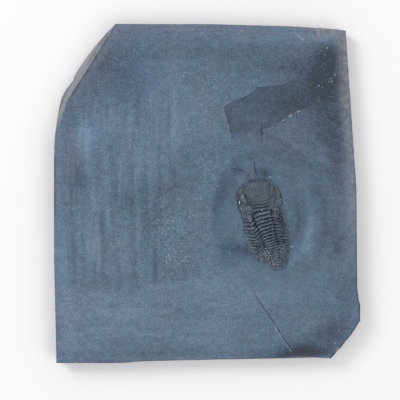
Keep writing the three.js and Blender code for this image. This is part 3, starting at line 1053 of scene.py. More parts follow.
ring_stations = stations()
tail_station = ring_stations.pop()[0]
head_station = station(*NECK, HEADING["head"])
tip = [round(v / MM, 1) for v in tail_station.translation]
print("stations:", len(ring_stations), "rings; tail tip at", tip)

# %% [markdown]
# ## Moulding a plate
# A plate starts as a flat grid, two units across and two along. A rule says where each
# corner of the grid goes, in millimetres: how far to the side, how far forward, how high,
# how deep it lies in a furrow, and how dark the crust is there. The last two are stored: the
# furrows are painted darker, partly for dirt and partly as painted shade, the right side
# is stored darker, and the left eye's outer face gets painted shade. The grid's border is
# then pulled down into the stone and closed, so that a plate is a solid thing and not a sheet.
# Sculpting by hand would do as well, but rules keep the eleven rings alike and still let
# each one be a little worn in its own way.

# %% Helpers for moulding


def arch(share):
    return math.sqrt(max(0, 1 - share * share))


def over(a, b, soft):
    """The higher of two heights, with the corner between them rounded off."""
    t = min(max(0.5 + 0.5 * (a - b) / soft, 0), 1)
    return lerp(b, a, t) + soft * t * (1 - t) * 0.5


def rumple(x, y, size, seed):
    """Smooth noise from -1 to 1, whose humps are about size apart, like x and y in mm."""
    return noise.noise(Vector((x / size, y / size, seed)))


def crust(x, y, seed, rough=1.0):
    """Unevenness of the mineral crust, in mm."""
    return rough * (0.09 * rumple(x, y, 1.3, seed) + 0.06 * rumple(x, y, 0.45, seed + 40))


def mould(across, along, rule):
    """A grid whose corners a rule puts in place. It returns (x, y, z), a furrow and a shade."""
    bm = bmesh.new()
    bmesh.ops.create_grid(bm, x_segments=across, y_segments=along, size=1)
    furrow = bm.verts.layers.float.new("furrow")
    dark = bm.verts.layers.float.new("dark")
    for corner in bm.verts:
        place, deep, shade = rule(corner.co.x, corner.co.y)
        corner.co = Vector(place) * MM
        corner[furrow] = min(max(deep, 0), 1)
        corner[dark] = shade
    return bm


def close_below(bm, depth=0.35 * MM):
    """Pulls the border down into the stone and closes the underside."""
    border = [e for e in bm.edges if e.is_boundary]
    made = bmesh.ops.extrude_edge_only(bm, edges=border)
    for corner in only(BMVert, made):
        corner.co.z = -depth
    bmesh.ops.edgeloop_fill(bm, edges=[e for e in only(BMEdge, made) if e.is_boundary])
    bmesh.ops.recalc_face_normals(bm, faces=bm.faces)


def disc_place(u, v):
    """Bends a square grid into a round one: place from -1 to 1, share of the radius, turn."""
    x, y = u * math.sqrt(1 - v * v / 2), v * math.sqrt(1 - u * u / 2)
    return x, y, min(math.hypot(x, y), 1), math.atan2(y, x)


def rounded_rim(turn, half_width, half_length, squareness):
    """How far the rim of a rounded oblong is from its centre in one direction."""
    across = abs(math.cos(turn) / half_width) ** squareness
    along = abs(math.sin(turn) / half_length) ** squareness
    return (across + along) ** (-1 / squareness)


print("crust at one place:", round(crust(1, 2, 3), 3), "mm")

# %% [markdown]
# ## The head shield
# The head is a rounded half-moon. Its middle lobe, the glabella, swells forward over the
# front edge and is by far the smoothest part of the animal. Behind it lie two or three
# narrow cross ridges and the neck ring. A sunken furrow parts the lobe from the cheeks,
# and on each cheek stands an eye: a kidney-shaped lid with a steep outer face full of
# lenses, each of which is a little dome that can be seen with the naked eye.

# %% Head shield
HEAD_NET = (132, 120)  # how many cells the grid of the plate has, across and along
LOBE = {"centre_y": 9.6, "front": 7.8, "rear": 9.0, "height": 3.7}
LOBE_FURROWS = ((1.85, 0.34, 1.0), (3.6, 0.34, 0.75), (5.2, 0.35, 0.4), (6.8, 0.4, 0.15))
EYES = ((-8.8, 8.4, 10), (7.5, 10.0, -12))  # x, y and turn in degrees, before rolling
EYE_HALF = (1.5, 3.3)
LENS_ROWS = (0.72, 0.83, 0.92, 0.985)  # shares of the way from an eye's middle to its rim
LENS_COLUMNS = range(-6, 7)
LENS_SPACING = 11.5  # degrees
LENS_RADIUS = 0.17 * MM


def lobe_share(x, y):
    half_width = lerp(4.9, 7.9, ramp(y, 2, 11))
    along = (y - LOBE["centre_y"]) / (LOBE["front"] if y > LOBE["centre_y"] else LOBE["rear"])
    return (abs(x / half_width) ** 2.4 + abs(along) ** 2.4) ** (1 / 2.4)


def eye_local(x, y, eye):
    """Place in an eye's own frame: across, with the outer side positive, and along."""
    middle_x, middle_y, turn = eye
    off = turned(Vector((x - middle_x, y - middle_y)), -turn)
    return off.x * math.copysign(1, middle_x), off.y


def eye_height(x, y):
    """Height of the eyes above the cheek, and the groove on their inner side."""
    height, groove = 0, 0
    for eye in EYES:
        across, along = eye_local(x, y, eye)
        bent = across + 0.09 * along * along  # the lid is a crescent, hollow on the inner side
        share = math.hypot(bent / EYE_HALF[0], along / EYE_HALF[1])
        height = max(height, 1.7 * arch(share) ** 0.6)
        inner = hump(bent, -EYE_HALF[0] * 0.7, 0.3) * (1 - ramp(abs(along), 1.6, 3.0))
        outer = hump(bent, EYE_HALF[0] * 1.1, 0.35) * (1 - ramp(abs(along), 2.0, 3.6))
        groove = max(groove, 0.7 * inner, 0.8 * outer)
    return height, groove


def head_rule(u, v):
    dx, dy, share, turn = disc_place(u, v)
    front = math.sin(turn) > 0
    length = HEAD["length"] - HEAD["widest_at"] if front else HEAD["widest_at"] - SEAM
    reach = rounded_rim(turn, HEAD["half_width"], length, 2.15 if front else 7)
    reach *= 1 + 0.03 * noise.noise(Vector((dx * 9, dy * 9, 15)))
    x, y = dx * reach, HEAD["widest_at"] + dy * reach
    side = abs(x)
    bow = 0.028 * min(side, 6) ** 2  # the cross ridges bow back in the middle
    lines = noise.noise(Vector((x / 0.75, y / 2.6 - side / 2, 13)))  # the cheeks are faintly lined
    cheek = 0.15 + 2.4 * arch(share) ** 1.15 + 0.25 * hump(share, 0.95, 0.05) + 0.15 * lines
    cheek -= 0.3 * hump(share, 0.86, 0.045) * ramp(side, 2, 5)
    inside = lobe_share(x, y)
    lobe = 0.9 + LOBE["height"] * arch(inside) ** 0.85 if inside < 1 else 0
    furrow = 0.5 * hump(inside, 1.03, 0.05) * (0.7 + rumple(x, y, 1.6, 8))
    for at_y, width, depth in LOBE_FURROWS:
        middle = 0.75 + 0.25 * ramp(side, 1.5, 4)
        cut_here = hump(y - bow, at_y, width) * (1 - ramp(side, 5.0, 6.4)) * middle
        lobe -= depth * cut_here
        furrow = max(furrow, min(0.8, depth * 1.2) * cut_here)
    neck_ring = (0.5 + 2.9 * arch(side / 5.3)) * ramp(y, -0.2, 0.55) if y < 1.9 and side < 5.3 else 0
    neck_ring -= 0.35 * hump(y - bow, 1.85, 0.35)
    rear_rim = 1.5 + 0.3 * hump(y, 0.7, 0.45) - 0.35 * hump(y, 1.75, 0.35) if side > 5 else 0
    eye, groove = eye_height(x, y)
    height = over(cheek, lobe, 0.35)
    height = over(height, neck_ring, 0.2)
    height = over(height, min(rear_rim, cheek + 0.5), 0.3)
    height += eye - 0.4 * groove
    furrow = max(furrow, groove, 0.6 * hump(y, 1.75, 0.32) * ramp(side, 5, 6))
    on_lobe = ramp(1 - inside, 0, 0.1)
    height += crust(x, y, 3, lerp(2.6, 0.4, on_lobe)) * min(1, 3 * (1 - share) + 0.3)
    edge = ramp(share, 0.985, 1)
    height = lerp(height, 0.15, edge)
    across = rolled(x, HEAD["roll"])
    patch = rumple(x, y, 1.8, 9) + 0.6 * rumple(x, y, 0.6, 10)
    shade = lerp(0.5, 0.98, on_lobe) + lerp(0.8, 0.2, on_lobe) * patch
    # painted shade on the outer face of the left eye; the raised eyes are painted lighter, as a highlight
    shade += 0.8 * ramp(-x, 9.9, 10.6) * hump(y, 8.5, 5) - 0.35 * ramp(eye, 0.4, 1.2)
    shade -= lerp(1.0, 0.15, on_lobe) * lines
    rough = rumple(x, y, 0.6, 12)
    seam = ramp(share, 0.93, 1) * ramp(side, 5, 6) * (1 - ramp(y, 0.6, 1.2))
    furrow = max(furrow, 0.3 * edge, 0.9 * seam) + lerp(0.9, 0.1, on_lobe) * rough
    y += 0.55 * flank_run(across) * (1 - ramp(y, 0, HEAD["widest_at"]))
    return (across, y, max(height, 0.1)), furrow, shade


def eye_lenses(bm):
    """Sets rows of little domes on the steep outer face of each eye."""
    for eye in EYES:
        sign = math.copysign(1, eye[0])
        for row, share in enumerate(LENS_ROWS):
            for column in LENS_COLUMNS:
                turn = math.radians(LENS_SPACING * (column + 0.5 * (row % 2)))
                along = EYE_HALF[1] * share * math.sin(turn)
                across = EYE_HALF[0] * share * math.cos(turn) - 0.09 * along * along
                off = turned(Vector((across * sign, along)), eye[2])
                x, y = rolled(eye[0] + off.x, HEAD["roll"]), eye[1] + off.y
                place = moved_to(x, y, head_surface(x, y))
                bmesh.ops.create_uvsphere(
                    bm, u_segments=6, v_segments=4, radius=LENS_RADIUS, matrix=place)
    return len(EYES) * len(LENS_ROWS) * len(LENS_COLUMNS)


def surface_of(bm):
    """Finds the height of a plate's nearest corner, in mm."""
    nearest = nearest_of([corner.co for corner in bm.verts])
    heights = [corner.co.z / MM for corner in bm.verts]
    return lambda x, y: heights[nearest(Vector((x * MM, y * MM)))[0]]


head = mould(*HEAD_NET, head_rule)
head_surface = surface_of(head)
close_below(head)
lens_count = eye_lenses(head)
bmesh.ops.transform(head, matrix=head_station, verts=head.verts)
print("head:", len(head.faces), "faces,", lens_count, "lenses")

# %% [markdown]
# ## The body rings
# All eleven rings follow one plan. In the middle, over the back, a ring is a strong arch
# with a high rounded band behind and a lower half-ring in front, which slides under the
# ring ahead. On either side, past a deep furrow, it becomes a rib: flat on top, split by a
# slanting groove, bent down and rounded at the tip. Only the sizes change from ring to
# ring, and each is worn and crusted in its own way.

# %% Body rings
BACK_HALF = (5.0, 3.3)
BACK_HEIGHT = (3.5, 2.5)
FLANK_HALF = (10.9, 11.2, 10.0)
FLANK_HEIGHT = 2.0
RING_ROLL = (0.05, 0.19)
RING_NET, LEAD = (150, 16), 0.35
FIRST_NET, FIRST_LEAD = (150, 30), 2.9  # the first ring reaches far under the head


def ring_sizes(number):
    along = (number + 0.5) / RINGS
    front, middle, rear = FLANK_HALF
    half = lerp(front, middle, along * 2) if along < 0.5 else lerp(middle, rear, along * 2 - 1)
    return {"back_half": lerp(*BACK_HALF, along), "back_height": lerp(*BACK_HEIGHT, along),
            "half_width": half, "roll": lerp(*RING_ROLL, along)}


def back_profile(forward):
    """Height of a ring over the back, from its rear edge (0) to its front edge (1)."""
    band = ramp(forward, -0.04, 0.2) * (1 - 0.6 * ramp(forward, 0.6, 0.8))
    return band + 0.16 * hump(forward, 0.88, 0.08)


def ring_rule(sizes, pitch, seed, lead):
    """The plan of one ring. Its ribs reach lead mm forward, under the plate ahead."""
    length = pitch - SEAM
    ahead = 0.16 if lead > 1 else 0  # the first ring shows more of its band
    reach = sizes["half_width"] * (1 + 0.025 * noise.noise(Vector((seed, 0.5, 0))))
    one_ring = 0.7 * noise.noise(Vector((seed, 0.5, 8)))
    back_half, back_height = sizes["back_half"], sizes["back_height"]

    def rule(u, v):
        forward = (v + 1) / 2
        wave = noise.noise(Vector((u * reach / 1.7, seed, 7)))
        side = abs(u) * reach
        out = max((side - back_half) / (reach - back_half), 0)
        on_back = 1 - ramp(side, back_half - 0.35, back_half + 0.15)
        back = 0.35 + (back_height - 0.35) * arch(min(side / back_half, 1)) ** 0.8
        back *= 0.34 + 0.66 * back_profile(forward - ahead * forward)
        groove_at = lerp(0.8, 0.42, out)
        groove = hump(forward, groove_at, 0.1) * ramp(out, 0, 0.08) * (1 - ramp(out, 0.72, 0.9))
        rib = lerp(1.0, FLANK_HEIGHT, ramp(out, 0, 0.22)) * (1 - 0.78 * out ** 2.4)
        rib *= 0.3 + 0.7 * ramp(forward, -0.05, 0.22) * (1 - ramp(forward, 0.8, 1.02))
        height = lerp(rib - 0.42 * groove, back, on_back)
        height += crust(u * reach, forward * length, seed, lerp(2.8, 1.0, on_back))
        tip = ramp(abs(u), 0.86, 1)
        rough = rumple(u * reach, forward * length, 0.9, seed + 3)
        front_gap = ramp(forward - ahead, lerp(0.74, 0.86, on_back), 1)
        if lead > 1:  # the part under the head shows one more rib
            front_gap = max(hump(forward, 0.76, 0.05), ramp(forward, 0.94, 1)) * (1 - on_back)
        half_ring = ramp(forward - ahead + 0.2 * wave, 0.62, 0.86) * on_back
        # painted shade: dark between the rings, where each slides under the one ahead
        between = max(1 - ramp(forward, 0, lerp(0.3, 0.14, on_back)), front_gap, half_ring)
        between *= lerp(0.95, 0.48, on_back)
        furrow = max(between * (0.8 + 0.8 * rough), 0.8 * groove, hump(side, back_half + 0.2, 0.5),
                     0.3 * ramp(out, 0.93, 1)) + lerp(1.4 if u > 0 else 1.15, 0.45, on_back) * rough
        across = rolled(u * reach, sizes["roll"])
        rounded = lerp(forward * length, length * 0.46, (0.2 if u < 0 else 0.4) * tip * tip)
        stretch = ramp(forward, 0.7, 1) * lerp(lead * ramp(out, 0, 0.3), 0.2, on_back)
        patch = noise.noise(Vector((across / 2.2, seed, 3)))
        patch += 0.5 * noise.noise(Vector((across / 0.7, seed, 4)))
        shade = 0.05 + 0.4 * patch + 0.5 * wave + (0.55 * ramp(u, 0.42, 0.62) if u > 0 else 0.1 * out)
        # the back is painted a little lighter left of its middle, as a highlight
        shade += on_back * (0.4 - 0.2 * hump(u * reach, -2.2, 1.5) + 0.6 * rough + one_ring)
        return (across, rounded + stretch + flank_run(across), max(height, 0.08)), furrow, shade

    return rule


rings = []
for number, (where, pitch) in enumerate(ring_stations):
    net, lead = (RING_NET, LEAD) if number else (FIRST_NET, FIRST_LEAD)
    seed = 11.3 * number + 5
    ring = mould(*net, ring_rule(ring_sizes(number), pitch, seed, lead))
    close_below(ring)
    bmesh.ops.transform(ring, matrix=where, verts=ring.verts)
    rings.append(ring)
print("rings:", len(rings), "with", len(rings[0].faces), "faces each")

# %% [markdown]
# ## The tail shield
# The tail is one plate in which rings and ribs have grown together. Its back tapers to a
# point between flanks that fall to a plain border. The ribs fan out: the front ones run
# sideways and the last ones nearly straight back. The left rear border has a piece
# missing, where the ribs end short and the last lobe stands alone.

# %% Tail shield
TAIL_NET = (112, 96)
TAIL_BITE = {"turn": -138.5, "spread": 21.5, "share": 0.31}
TAIL_RINGS = 1.45  # mm from ring to ring along the tail's back


def tail_reach(turn):
    if math.sin(turn) > 0:
        return rounded_rim(turn, TAIL["half_width"], TAIL["length"] - TAIL["widest_at"], 4.2)
    off = (math.degrees(turn) - TAIL_BITE["turn"]) / TAIL_BITE["spread"]
    left = 1 - TAIL_BITE["share"] * math.exp(-off * off)
    return rounded_rim(turn, TAIL["half_width"], TAIL["widest_at"], 1.6) * left


def band(phase):
    """A rounded ridge with a narrow furrow, repeated once for every whole phase."""
    return ramp(abs(phase % 1 - 0.5), 0.5, 0.26)


def tail_rule(u, v):
    dx, dy, share, turn = disc_place(u, v)
    reach = tail_reach(turn)
    x, y = dx * reach, TAIL["widest_at"] + dy * reach
    side, forward = abs(x), y / TAIL["length"]
    back_half = lerp(0.8, BACK_HALF[1] * 0.97, ramp(forward, 0.1, 1))
    back_height = lerp(1.2, BACK_HEIGHT[1], ramp(forward, 0.1, 1))
    out = max(side - back_half, 0)
    ring = band(y / TAIL_RINGS + 0.2)
    on_back = (1 - ramp(side, back_half - 0.3, back_half + 0.12)) * ramp(forward, 0.08, 0.16)
    back = (0.4 + (back_height - 0.4) * arch(min(side / back_half, 1)) ** 0.8) * (0.66 + 0.34 * ring)
    slant = y + out * lerp(1.5, 0.42, ramp(y, 1, 13)) + 0.05 * out * out
    slant += 0.9 * rumple(x, y, 1.3, 61)
    rib = band(slant / 1.5 + 0.1)
    ribbed = (1 - ramp(share, 0.86, 0.96)) * ramp(out, 0, 0.5)
    split = hump(slant / 1.5 % 1, 0.62, 0.07) * 0.5  # a fine line along each rib
    flank = 0.12 + 1.55 * arch(share) ** 0.9 + 0.38 * (rib - 0.6 - 0.5 * split) * ribbed
    height = lerp(flank, back, on_back) + crust(x, y, 70, 3.2) * min(1, 4 * (1 - share) + 0.25)
    edge = ramp(share, 0.98, 1)
    height = lerp(height, 0.12, edge)
    furrow = max((1 - ring) * on_back, (1 - rib) * ribbed * (1 - on_back), 0.6 * edge,
                 0.9 * hump(side, back_half + 0.05, 0.34) * ramp(forward, 0.1, 0.2), split * ribbed)
    across = rolled(x, TAIL["roll"])
    forward_flank = flank_run(across) + 2.2 * ramp(abs(across), 3, 6.5)  # under the last ring
    y += forward_flank * ramp(y, TAIL["widest_at"] - 2, TAIL["length"])
    rough = rumple(x, y, 0.9, 6)
    furrow = 0.75 * furrow + lerp(2.2, 0.7, on_back) * rough
    shade = 0.15 + 0.45 * rumple(x, y, 2.2, 5) + 0.45 * ramp(x, 1, 4) + 0.5 * rough
    return (across, y, max(height, 0.08)), furrow, shade


tail = mould(*TAIL_NET, tail_rule)
close_below(tail)
bmesh.ops.transform(tail, matrix=tail_station, verts=tail.verts)
print("tail:", len(tail.faces), "faces")

# %% [markdown]
# ## The shell's finish
# Where the living shell was, there is now a crust of dark grey mineral, olive on the smooth
# lobe of the head and mauve here and there. One spot at the rib tips on the right is painted
# nearly black, as painted shadow. Furrows are darker still, partly from fine dirt that stays
# in them and partly as painted shade. Grains of pyrite, fool's gold, sit in the crust on the
# crests and glint when the lamp catches them. Those grains are the only metal in the finish.

# %% Shell and pyrite materials
SHELL_CREST = (0.122, 0.156, 0.208)
SHELL_MIDDLE = (0.070, 0.092, 0.128)
SHELL_FURROW_SHADE_AND_DIRT = (0.027, 0.036, 0.055)
SHELL_DARK = (0.034, 0.042, 0.059)
SHELL_SHADES = (  # x, y, half width, half height, turn in degrees, strength (plus is darker)
    # the first entry, nearly black at the right rib tips, is painted shadow
    (42.0, -14.8, 2.2, 3.4, 15, 3.1), (23.0, -12.7, 3.2, 1.8, 15, 0.6),
    (37.4, -13.0, 1.6, 4.0, 15, -0.3), (41.3, -21.8, 2.6, 3.2, 0, -0.2),
    (26.9, -22.3, 2.4, 3.4, 15, -1.15), (36.0, -32.0, 2.4, 4.0, 15, 0.6),
    (37.4, -3.6, 2.6, 3.2, 0, 0.7), (20.3, -6.3, 3.0, 3.0, 10, 0.45), (19.4, 4.0, 1.2, 3.2, -40, 0.9),
    (44.0, -31.0, 1.6, 5.0, 10, 0.25), (24.6, -7.4, 1.3, 2.4, 25, 1.2),
)
SHELL_TINTS = (  # the same for mauve (plus) and olive (minus) mineral
    (29.0, -1.0, 6.0, 5.0, 10, -1.0), (26.0, -3.5, 4.0, 3.5, 0, -0.4), (37.4, -13.0, 2.4, 4.4, 15, 1.0),
    (17.6, -1.5, 1.6, 5.0, 10, 0.9), (25.0, 5.0, 3.0, 2.4, 0, 0.5), (36.5, 1.0, 2.8, 5.0, -10, -0.5),
    (31.5, -17.0, 3.0, 8.0, 18, 0.6), (29.0, -36.0, 6.0, 3.0, -20, -0.4),
    (31.0, -33.0, 3.0, 4.0, 0, 0.4), (36.5, -24.5, 2.2, 3.0, 0, 0.6),
)


def make_shell(name, crest_tone, middle_tone):
    shell, tree, shader, place = material(name)
    mottle = place_group(tree, MOTTLE, Vector=place, Large=0.2, Middle=1.1, Small=2.4)
    furrow = math_node(tree, "MULTIPLY_ADD", mottle, 0.55, stored(tree, "furrow"))
    # furrows are painted darker, partly for dirt and partly as painted shade; crests stay lighter
    colour = ramp_node(tree, furrow, (0.0, crest_tone), (0.35, middle_tone), (0.9, SHELL_FURROW_SHADE_AND_DIRT))
    dark = math_node(tree, "MULTIPLY_ADD", mottle, 0.9, stored(tree, "dark"))
    # the stored dark holds crust stains, the right side's darker tone and painted shade on the left eye
    # and at the right rib tips
    colour = mix_colour(tree, times(tree, dark, 0.62), colour, (*SHELL_DARK, 1))
    colour = tinted(tree, colour, stored(tree, "tint"), (1.01, 0.97, 0.80), (1.12, 0.93, 1.0))
    tint = ramp_node(tree, clouds(tree, place, 260, 3),
                     (0.36, (1.08, 0.97, 1.0)), (0.64, (0.90, 1.03, 1.0)))
    colour = mix_colour(tree, 1.0, colour, tint, "MULTIPLY")
    grains = clouds(tree, place, 1500, 2, 0.5)
    crest = minus(tree, 1, times(tree, stored(tree, "furrow"), 1.4))
    crest = math_node(tree, "MAXIMUM", crest, 0)
    glint = times(tree, soft_step(tree, grains, 0.69, 0.75), crest)
    colour = mix_colour(tree, glint, colour, (0.40, 0.40, 0.40, 1))
    tooth = place_group(tree, GRAIN, Vector=place, Size=0.8)
    feed_all(tree, shader, Base_Color=colour, Metallic=times(tree, glint, 0.7), Specular_IOR_Level=0.4,
             Roughness=math_node(tree, "MULTIPLY_ADD", glint, -0.3, 0.6),
             Normal=bump(tree, tooth, 0.6, 0.14 * MM))
    return shell


def make_pyrite(name, light, dark, metal):
    """Dull pyrite for the limbs: light and dark tones in clouds, more metal where light."""
    pyrite, tree, shader, place = material(name)
    mottle = place_group(tree, MOTTLE, Vector=place, Large=0.3, Middle=0.8, Small=1.4)
    tone = plus(tree, mottle, 0.5)
    tooth = place_group(tree, GRAIN, Vector=place, Size=0.6)
    feed_all(tree, shader, Base_Color=ramp_node(tree, tone, (0.2, dark), (0.8, light)),
             Metallic=times(tree, tone, metal), Normal=bump(tree, tooth, 0.5, 0.08 * MM),
             Roughness=math_node(tree, "MULTIPLY_ADD", mottle, 0.4, 0.5))
    return pyrite


def weather(bm):
    """Adds the stains of the crust, and a painted shadow at the right rib tips, to a plate that lies at
    its station.
    """
    dark = bm.verts.layers.float["dark"]
    tint = bm.verts.layers.float.new("tint")
    for corner in bm.verts:
        corner[dark] += patched(corner.co.xy, SHELL_SHADES)
        corner[tint] = patched(corner.co.xy, SHELL_TINTS)


for plate in (head, tail, *rings):
    weather(plate)
SHELL_FINISH = make_shell("shell_mineral", SHELL_CREST, SHELL_MIDDLE)
named = [("shell_head", head, "head_shield")]
named += [(f"shell_ring_{n:02d}", ring, f"body_ring_{n:02d}") for n, ring in enumerate(rings, 1)]
named += [("shell_tail", tail, "tail_shield")]
plates = [finish_piece(name, bm, SHELL_FINISH, "shell", node_name) for name, bm, node_name in named]
print("shell plates placed:", len(plates))

# %% [markdown]
# ## Legs, feelers and gill fringe
# Under the shell the animal had jointed legs with a fringe of fine gill hairs, and two
# feelers in front. A few of them show past the edge of the shell. A limb is made like a
# turned chair leg: a small circle is extruded step by step along the limb's path, and at
# each step it swells at a joint or tapers between two joints.

# %% Legs and feelers
def surface_tree(piece):
    mesh = piece.data
    return BVHTree.FromPolygons([v.co for v in mesh.vertices], [p.vertices for p in mesh.polygons])


stone_surface = surface_tree(slab_piece)


def height_on(surface, x, y):
    """Height in mm of a surface at a place in mm, or None beside it."""
    hit = surface.ray_cast(Vector((x * MM, y * MM, 1)), -UP)[0]
    return hit.z / MM if hit else None


def on_stone(x, y):
    return height_on(stone_surface, x, y)


def along_path(route, share):
    """Point on a smooth curve through the route's points, share from 0 to 1."""
    spans = len(route) - 1
    span = min(int(share * spans), spans - 1)
    t = share * spans - span
    p0, p1, p2, p3 = (route[min(max(span + k, 0), spans)] for k in (-1, 0, 1, 2))
    return 0.5 * ((2 * p1) + (p2 - p0) * t + (2 * p0 - 5 * p1 + 4 * p2 - p3) * t * t
                  + (3 * p1 - p0 - 3 * p2 + p3) * t ** 3)


def limb(bm, route, radius_at, steps=24, sides=10, flat=1.0):
    """A limb along a route given in mm. radius_at gives its radius in mm along the way."""
    points = [Vector(point) * MM for point in route]
    path = [along_path(points, i / steps) for i in range(steps + 1)]
    ring = bmesh.ops.create_circle(bm, segments=sides, radius=1, cap_ends=False)["verts"]
    edges = list({e for v in ring for e in v.link_edges})
    frame_before = Matrix.Identity(4)
    for i, point in enumerate(path):
        heading = path[min(i + 1, steps)] - path[max(i - 1, 0)]
        turn = heading.to_track_quat("Z", "Y").to_matrix().to_4x4()
        radius = max(radius_at(i / steps), 0.01) * MM
        squeeze = Matrix.Diagonal((radius, radius * flat, radius, 1))
        frame_here = Matrix.Translation(point) @ turn @ squeeze
        if i:
            made = bmesh.ops.extrude_edge_only(bm, edges=edges)
            ring = only(BMVert, made)
            edges = [e for e in only(BMEdge, made) if e.is_boundary]
        bmesh.ops.transform(bm, matrix=frame_here @ frame_before.inverted(), verts=ring)
        frame_before = frame_here


def limb_piece(name, limbs, finish, *nodes):
    """One piece of some limbs, each given by what limb needs after its mesh."""
    bm = bmesh.new()
    for plan in limbs:
        limb(bm, *plan)
    bmesh.ops.holes_fill(bm, edges=[e for e in bm.edges if e.is_boundary], sides=64)
    bmesh.ops.recalc_face_normals(bm, faces=bm.faces)
    return finish_piece(name, bm, finish, "pyrite", *nodes)


def jointed(radius, joints, taper=0.6):
    """Radius of a jointed limb: it swells at each joint and tapers to the tip."""
    def at_share(share):
        knob = 0.22 * hump(share * joints % 1, 0.5, 0.16)
        return radius * (1 - taper * share) * (0.85 + knob) * (1 if share < 0.97 else 0.3)
    return at_share


def tip_across(number, side):
    """How far out the tip of a ring's rib is on one side."""
    sizes = ring_sizes(number)
    return rolled(side * sizes["half_width"], sizes["roll"])


def on_slab(number, x, y):
    """Where a place on a ring's plan lies on the slab. Both are in mm."""
    return ring_stations[number][0] @ Vector((x * MM, y * MM, 0)) / MM


def leg_route(number, side, reach):
    """A leg's path from under the tip of a ring's rib, out and a little to the rear."""
    start_x = tip_across(number, side)
    start_y = flank_run(start_x) + ring_stations[number][1] * 0.4
    steps_out = ((-1.2, 0.1), (0.6, 0.05), (0.3 + reach * 0.6, 0.25), (0.5 + reach, -0.35))
    route = []
    for out, forward in steps_out:
        place = on_slab(number, start_x + side * out, start_y + forward)
        route.append((place.x, place.y, on_stone(place.x, place.y) + 0.24))
    return route


LEG_RADIUS, LEG_JOINTS = 0.32, 5
LEG_FINISH = make_pyrite("leg_pyrite", (0.22, 0.27, 0.31), (0.04, 0.05, 0.06), 0.3)
LEGS = [("right", n + 1, ring, 1, 3.6 - 0.3 * n) for n, ring in enumerate((0, 1, 3, 5, 7))]
LEGS += [("left", n + 1, ring, -1, 1.8 + 0.25 * n) for n, ring in enumerate((4, 6, 8, 10))]
for side_name, number, ring_number, side, reach in LEGS:
    plan = (leg_route(ring_number, side, reach), jointed(LEG_RADIUS, LEG_JOINTS))
    limb_piece(f"{side_name}_leg_{number}", [plan], LEG_FINISH, f"leg_{side_name}_{number}")

FEELER_FINISH = make_pyrite("feeler_mineral", (0.120, 0.166, 0.222), (0.052, 0.068, 0.100), 0.05)
THREAD_FINISH = make_pyrite("feeler_dark_mineral", (0.060, 0.082, 0.125), (0.020, 0.028, 0.050), 0.1)


def stone_route(*points, up):
    return [(x, y, on_stone(x, y) + up) for x, y in points]


def flared(share):
    """The right feeler is broad where it leaves the head."""
    return jointed(1.1, 14, 0.2)(share) * (1 + 0.9 * hump(share, 0, 0.35))


def half_buried(share):
    """The left feeler comes out of the stone only past its first third."""
    return jointed(0.3, 16, 0.35)(share) * lerp(0.15, 1, ramp(share, 0.35, 0.6))


right_route = stone_route((25.0, 7.4), (24.9, 11.0), (24.9, 14.4), (24.5, 17.8), up=0.05)
left_route = stone_route((23.0, 8.6), (21.4, 11.2), (19.2, 13.0), (16.0, 13.6), (13.0, 13.4), up=0.05)
limb_piece("right_feeler", [(right_route, flared, 84, 14, 0.2)], FEELER_FINISH, "feeler_right")
limb_piece("left_feeler", [(left_route, half_buried, 80, 8)], THREAD_FINISH, "feeler_left")
print("limbs:", len(LEGS), "legs and 2 feelers")

# %% [markdown]
# ## Gill fringe and loose threads
# Between the legs lie fine gill hairs, pressed flat on the stone. Nobody could place them
# one by one, so a seeded chance spreads them along both flanks. Each is only a thin
# four-sided spike, because there are so many. Along the left flank they are matted into a
# crust, which is moulded like a plate of the shell: a strip that follows the tips of the
# ribs, with pits in it. Three dark threads lie on the stone as well: one along the right
# feeler, which is partly a thread and partly the feeler's painted shadow, one beside the
# left and a fine one past the left flank.

# %% Gill fringe and threads
MAT_NET = (110, 20)
chance = random.Random(7)


def spike(bm, start, turn, length, radius):
    """A thin spike lying on the stone, pointing along turn (degrees from +X)."""
    middle_x = start.x + 0.5 * length * math.cos(math.radians(turn))
    middle_y = start.y + 0.5 * length * math.sin(math.radians(turn))
    place = moved_to(middle_x, middle_y, on_stone(middle_x, middle_y) + 0.08)
    lie = turned_by(turn) @ turned_by(90, "Y")
    bmesh.ops.create_cone(bm, cap_ends=True, segments=4, radius1=radius * MM, radius2=0.3 * radius * MM,
                          depth=length * MM, matrix=place @ lie)


def fringe(side, first, last, count, out_range, lean):
    """Hairs past the tips of the ribs from ring first to ring last on one side."""
    bm = bmesh.new()
    for _ in range(count):
        along = chance.uniform(first, last)
        number = min(int(along), RINGS - 1)
        where, pitch = ring_stations[number]
        start_x = tip_across(number, side) + side * chance.uniform(*out_range)
        start = on_slab(number, start_x, flank_run(start_x) + pitch * (1 - along % 1))
        outward = math.degrees(math.atan2(where[1][0], where[0][0])) + (0 if side > 0 else 180)
        turn = outward + lean + chance.uniform(-28, 28)
        spike(bm, start, turn, chance.uniform(0.7, 1.9), chance.uniform(0.09, 0.17))
    return bm


def rib_tip(along, side):
    """Tip of the ribs in mm, at a place along the rings that need not be a whole number."""
    tips = []
    for number in (int(along), min(int(along) + 1, RINGS - 1)):
        tip_x = tip_across(number, side)
        tips.append(on_slab(number, tip_x, flank_run(tip_x) + ring_stations[number][1] * 0.5))
    return tips[0].lerp(tips[1], along % 1)


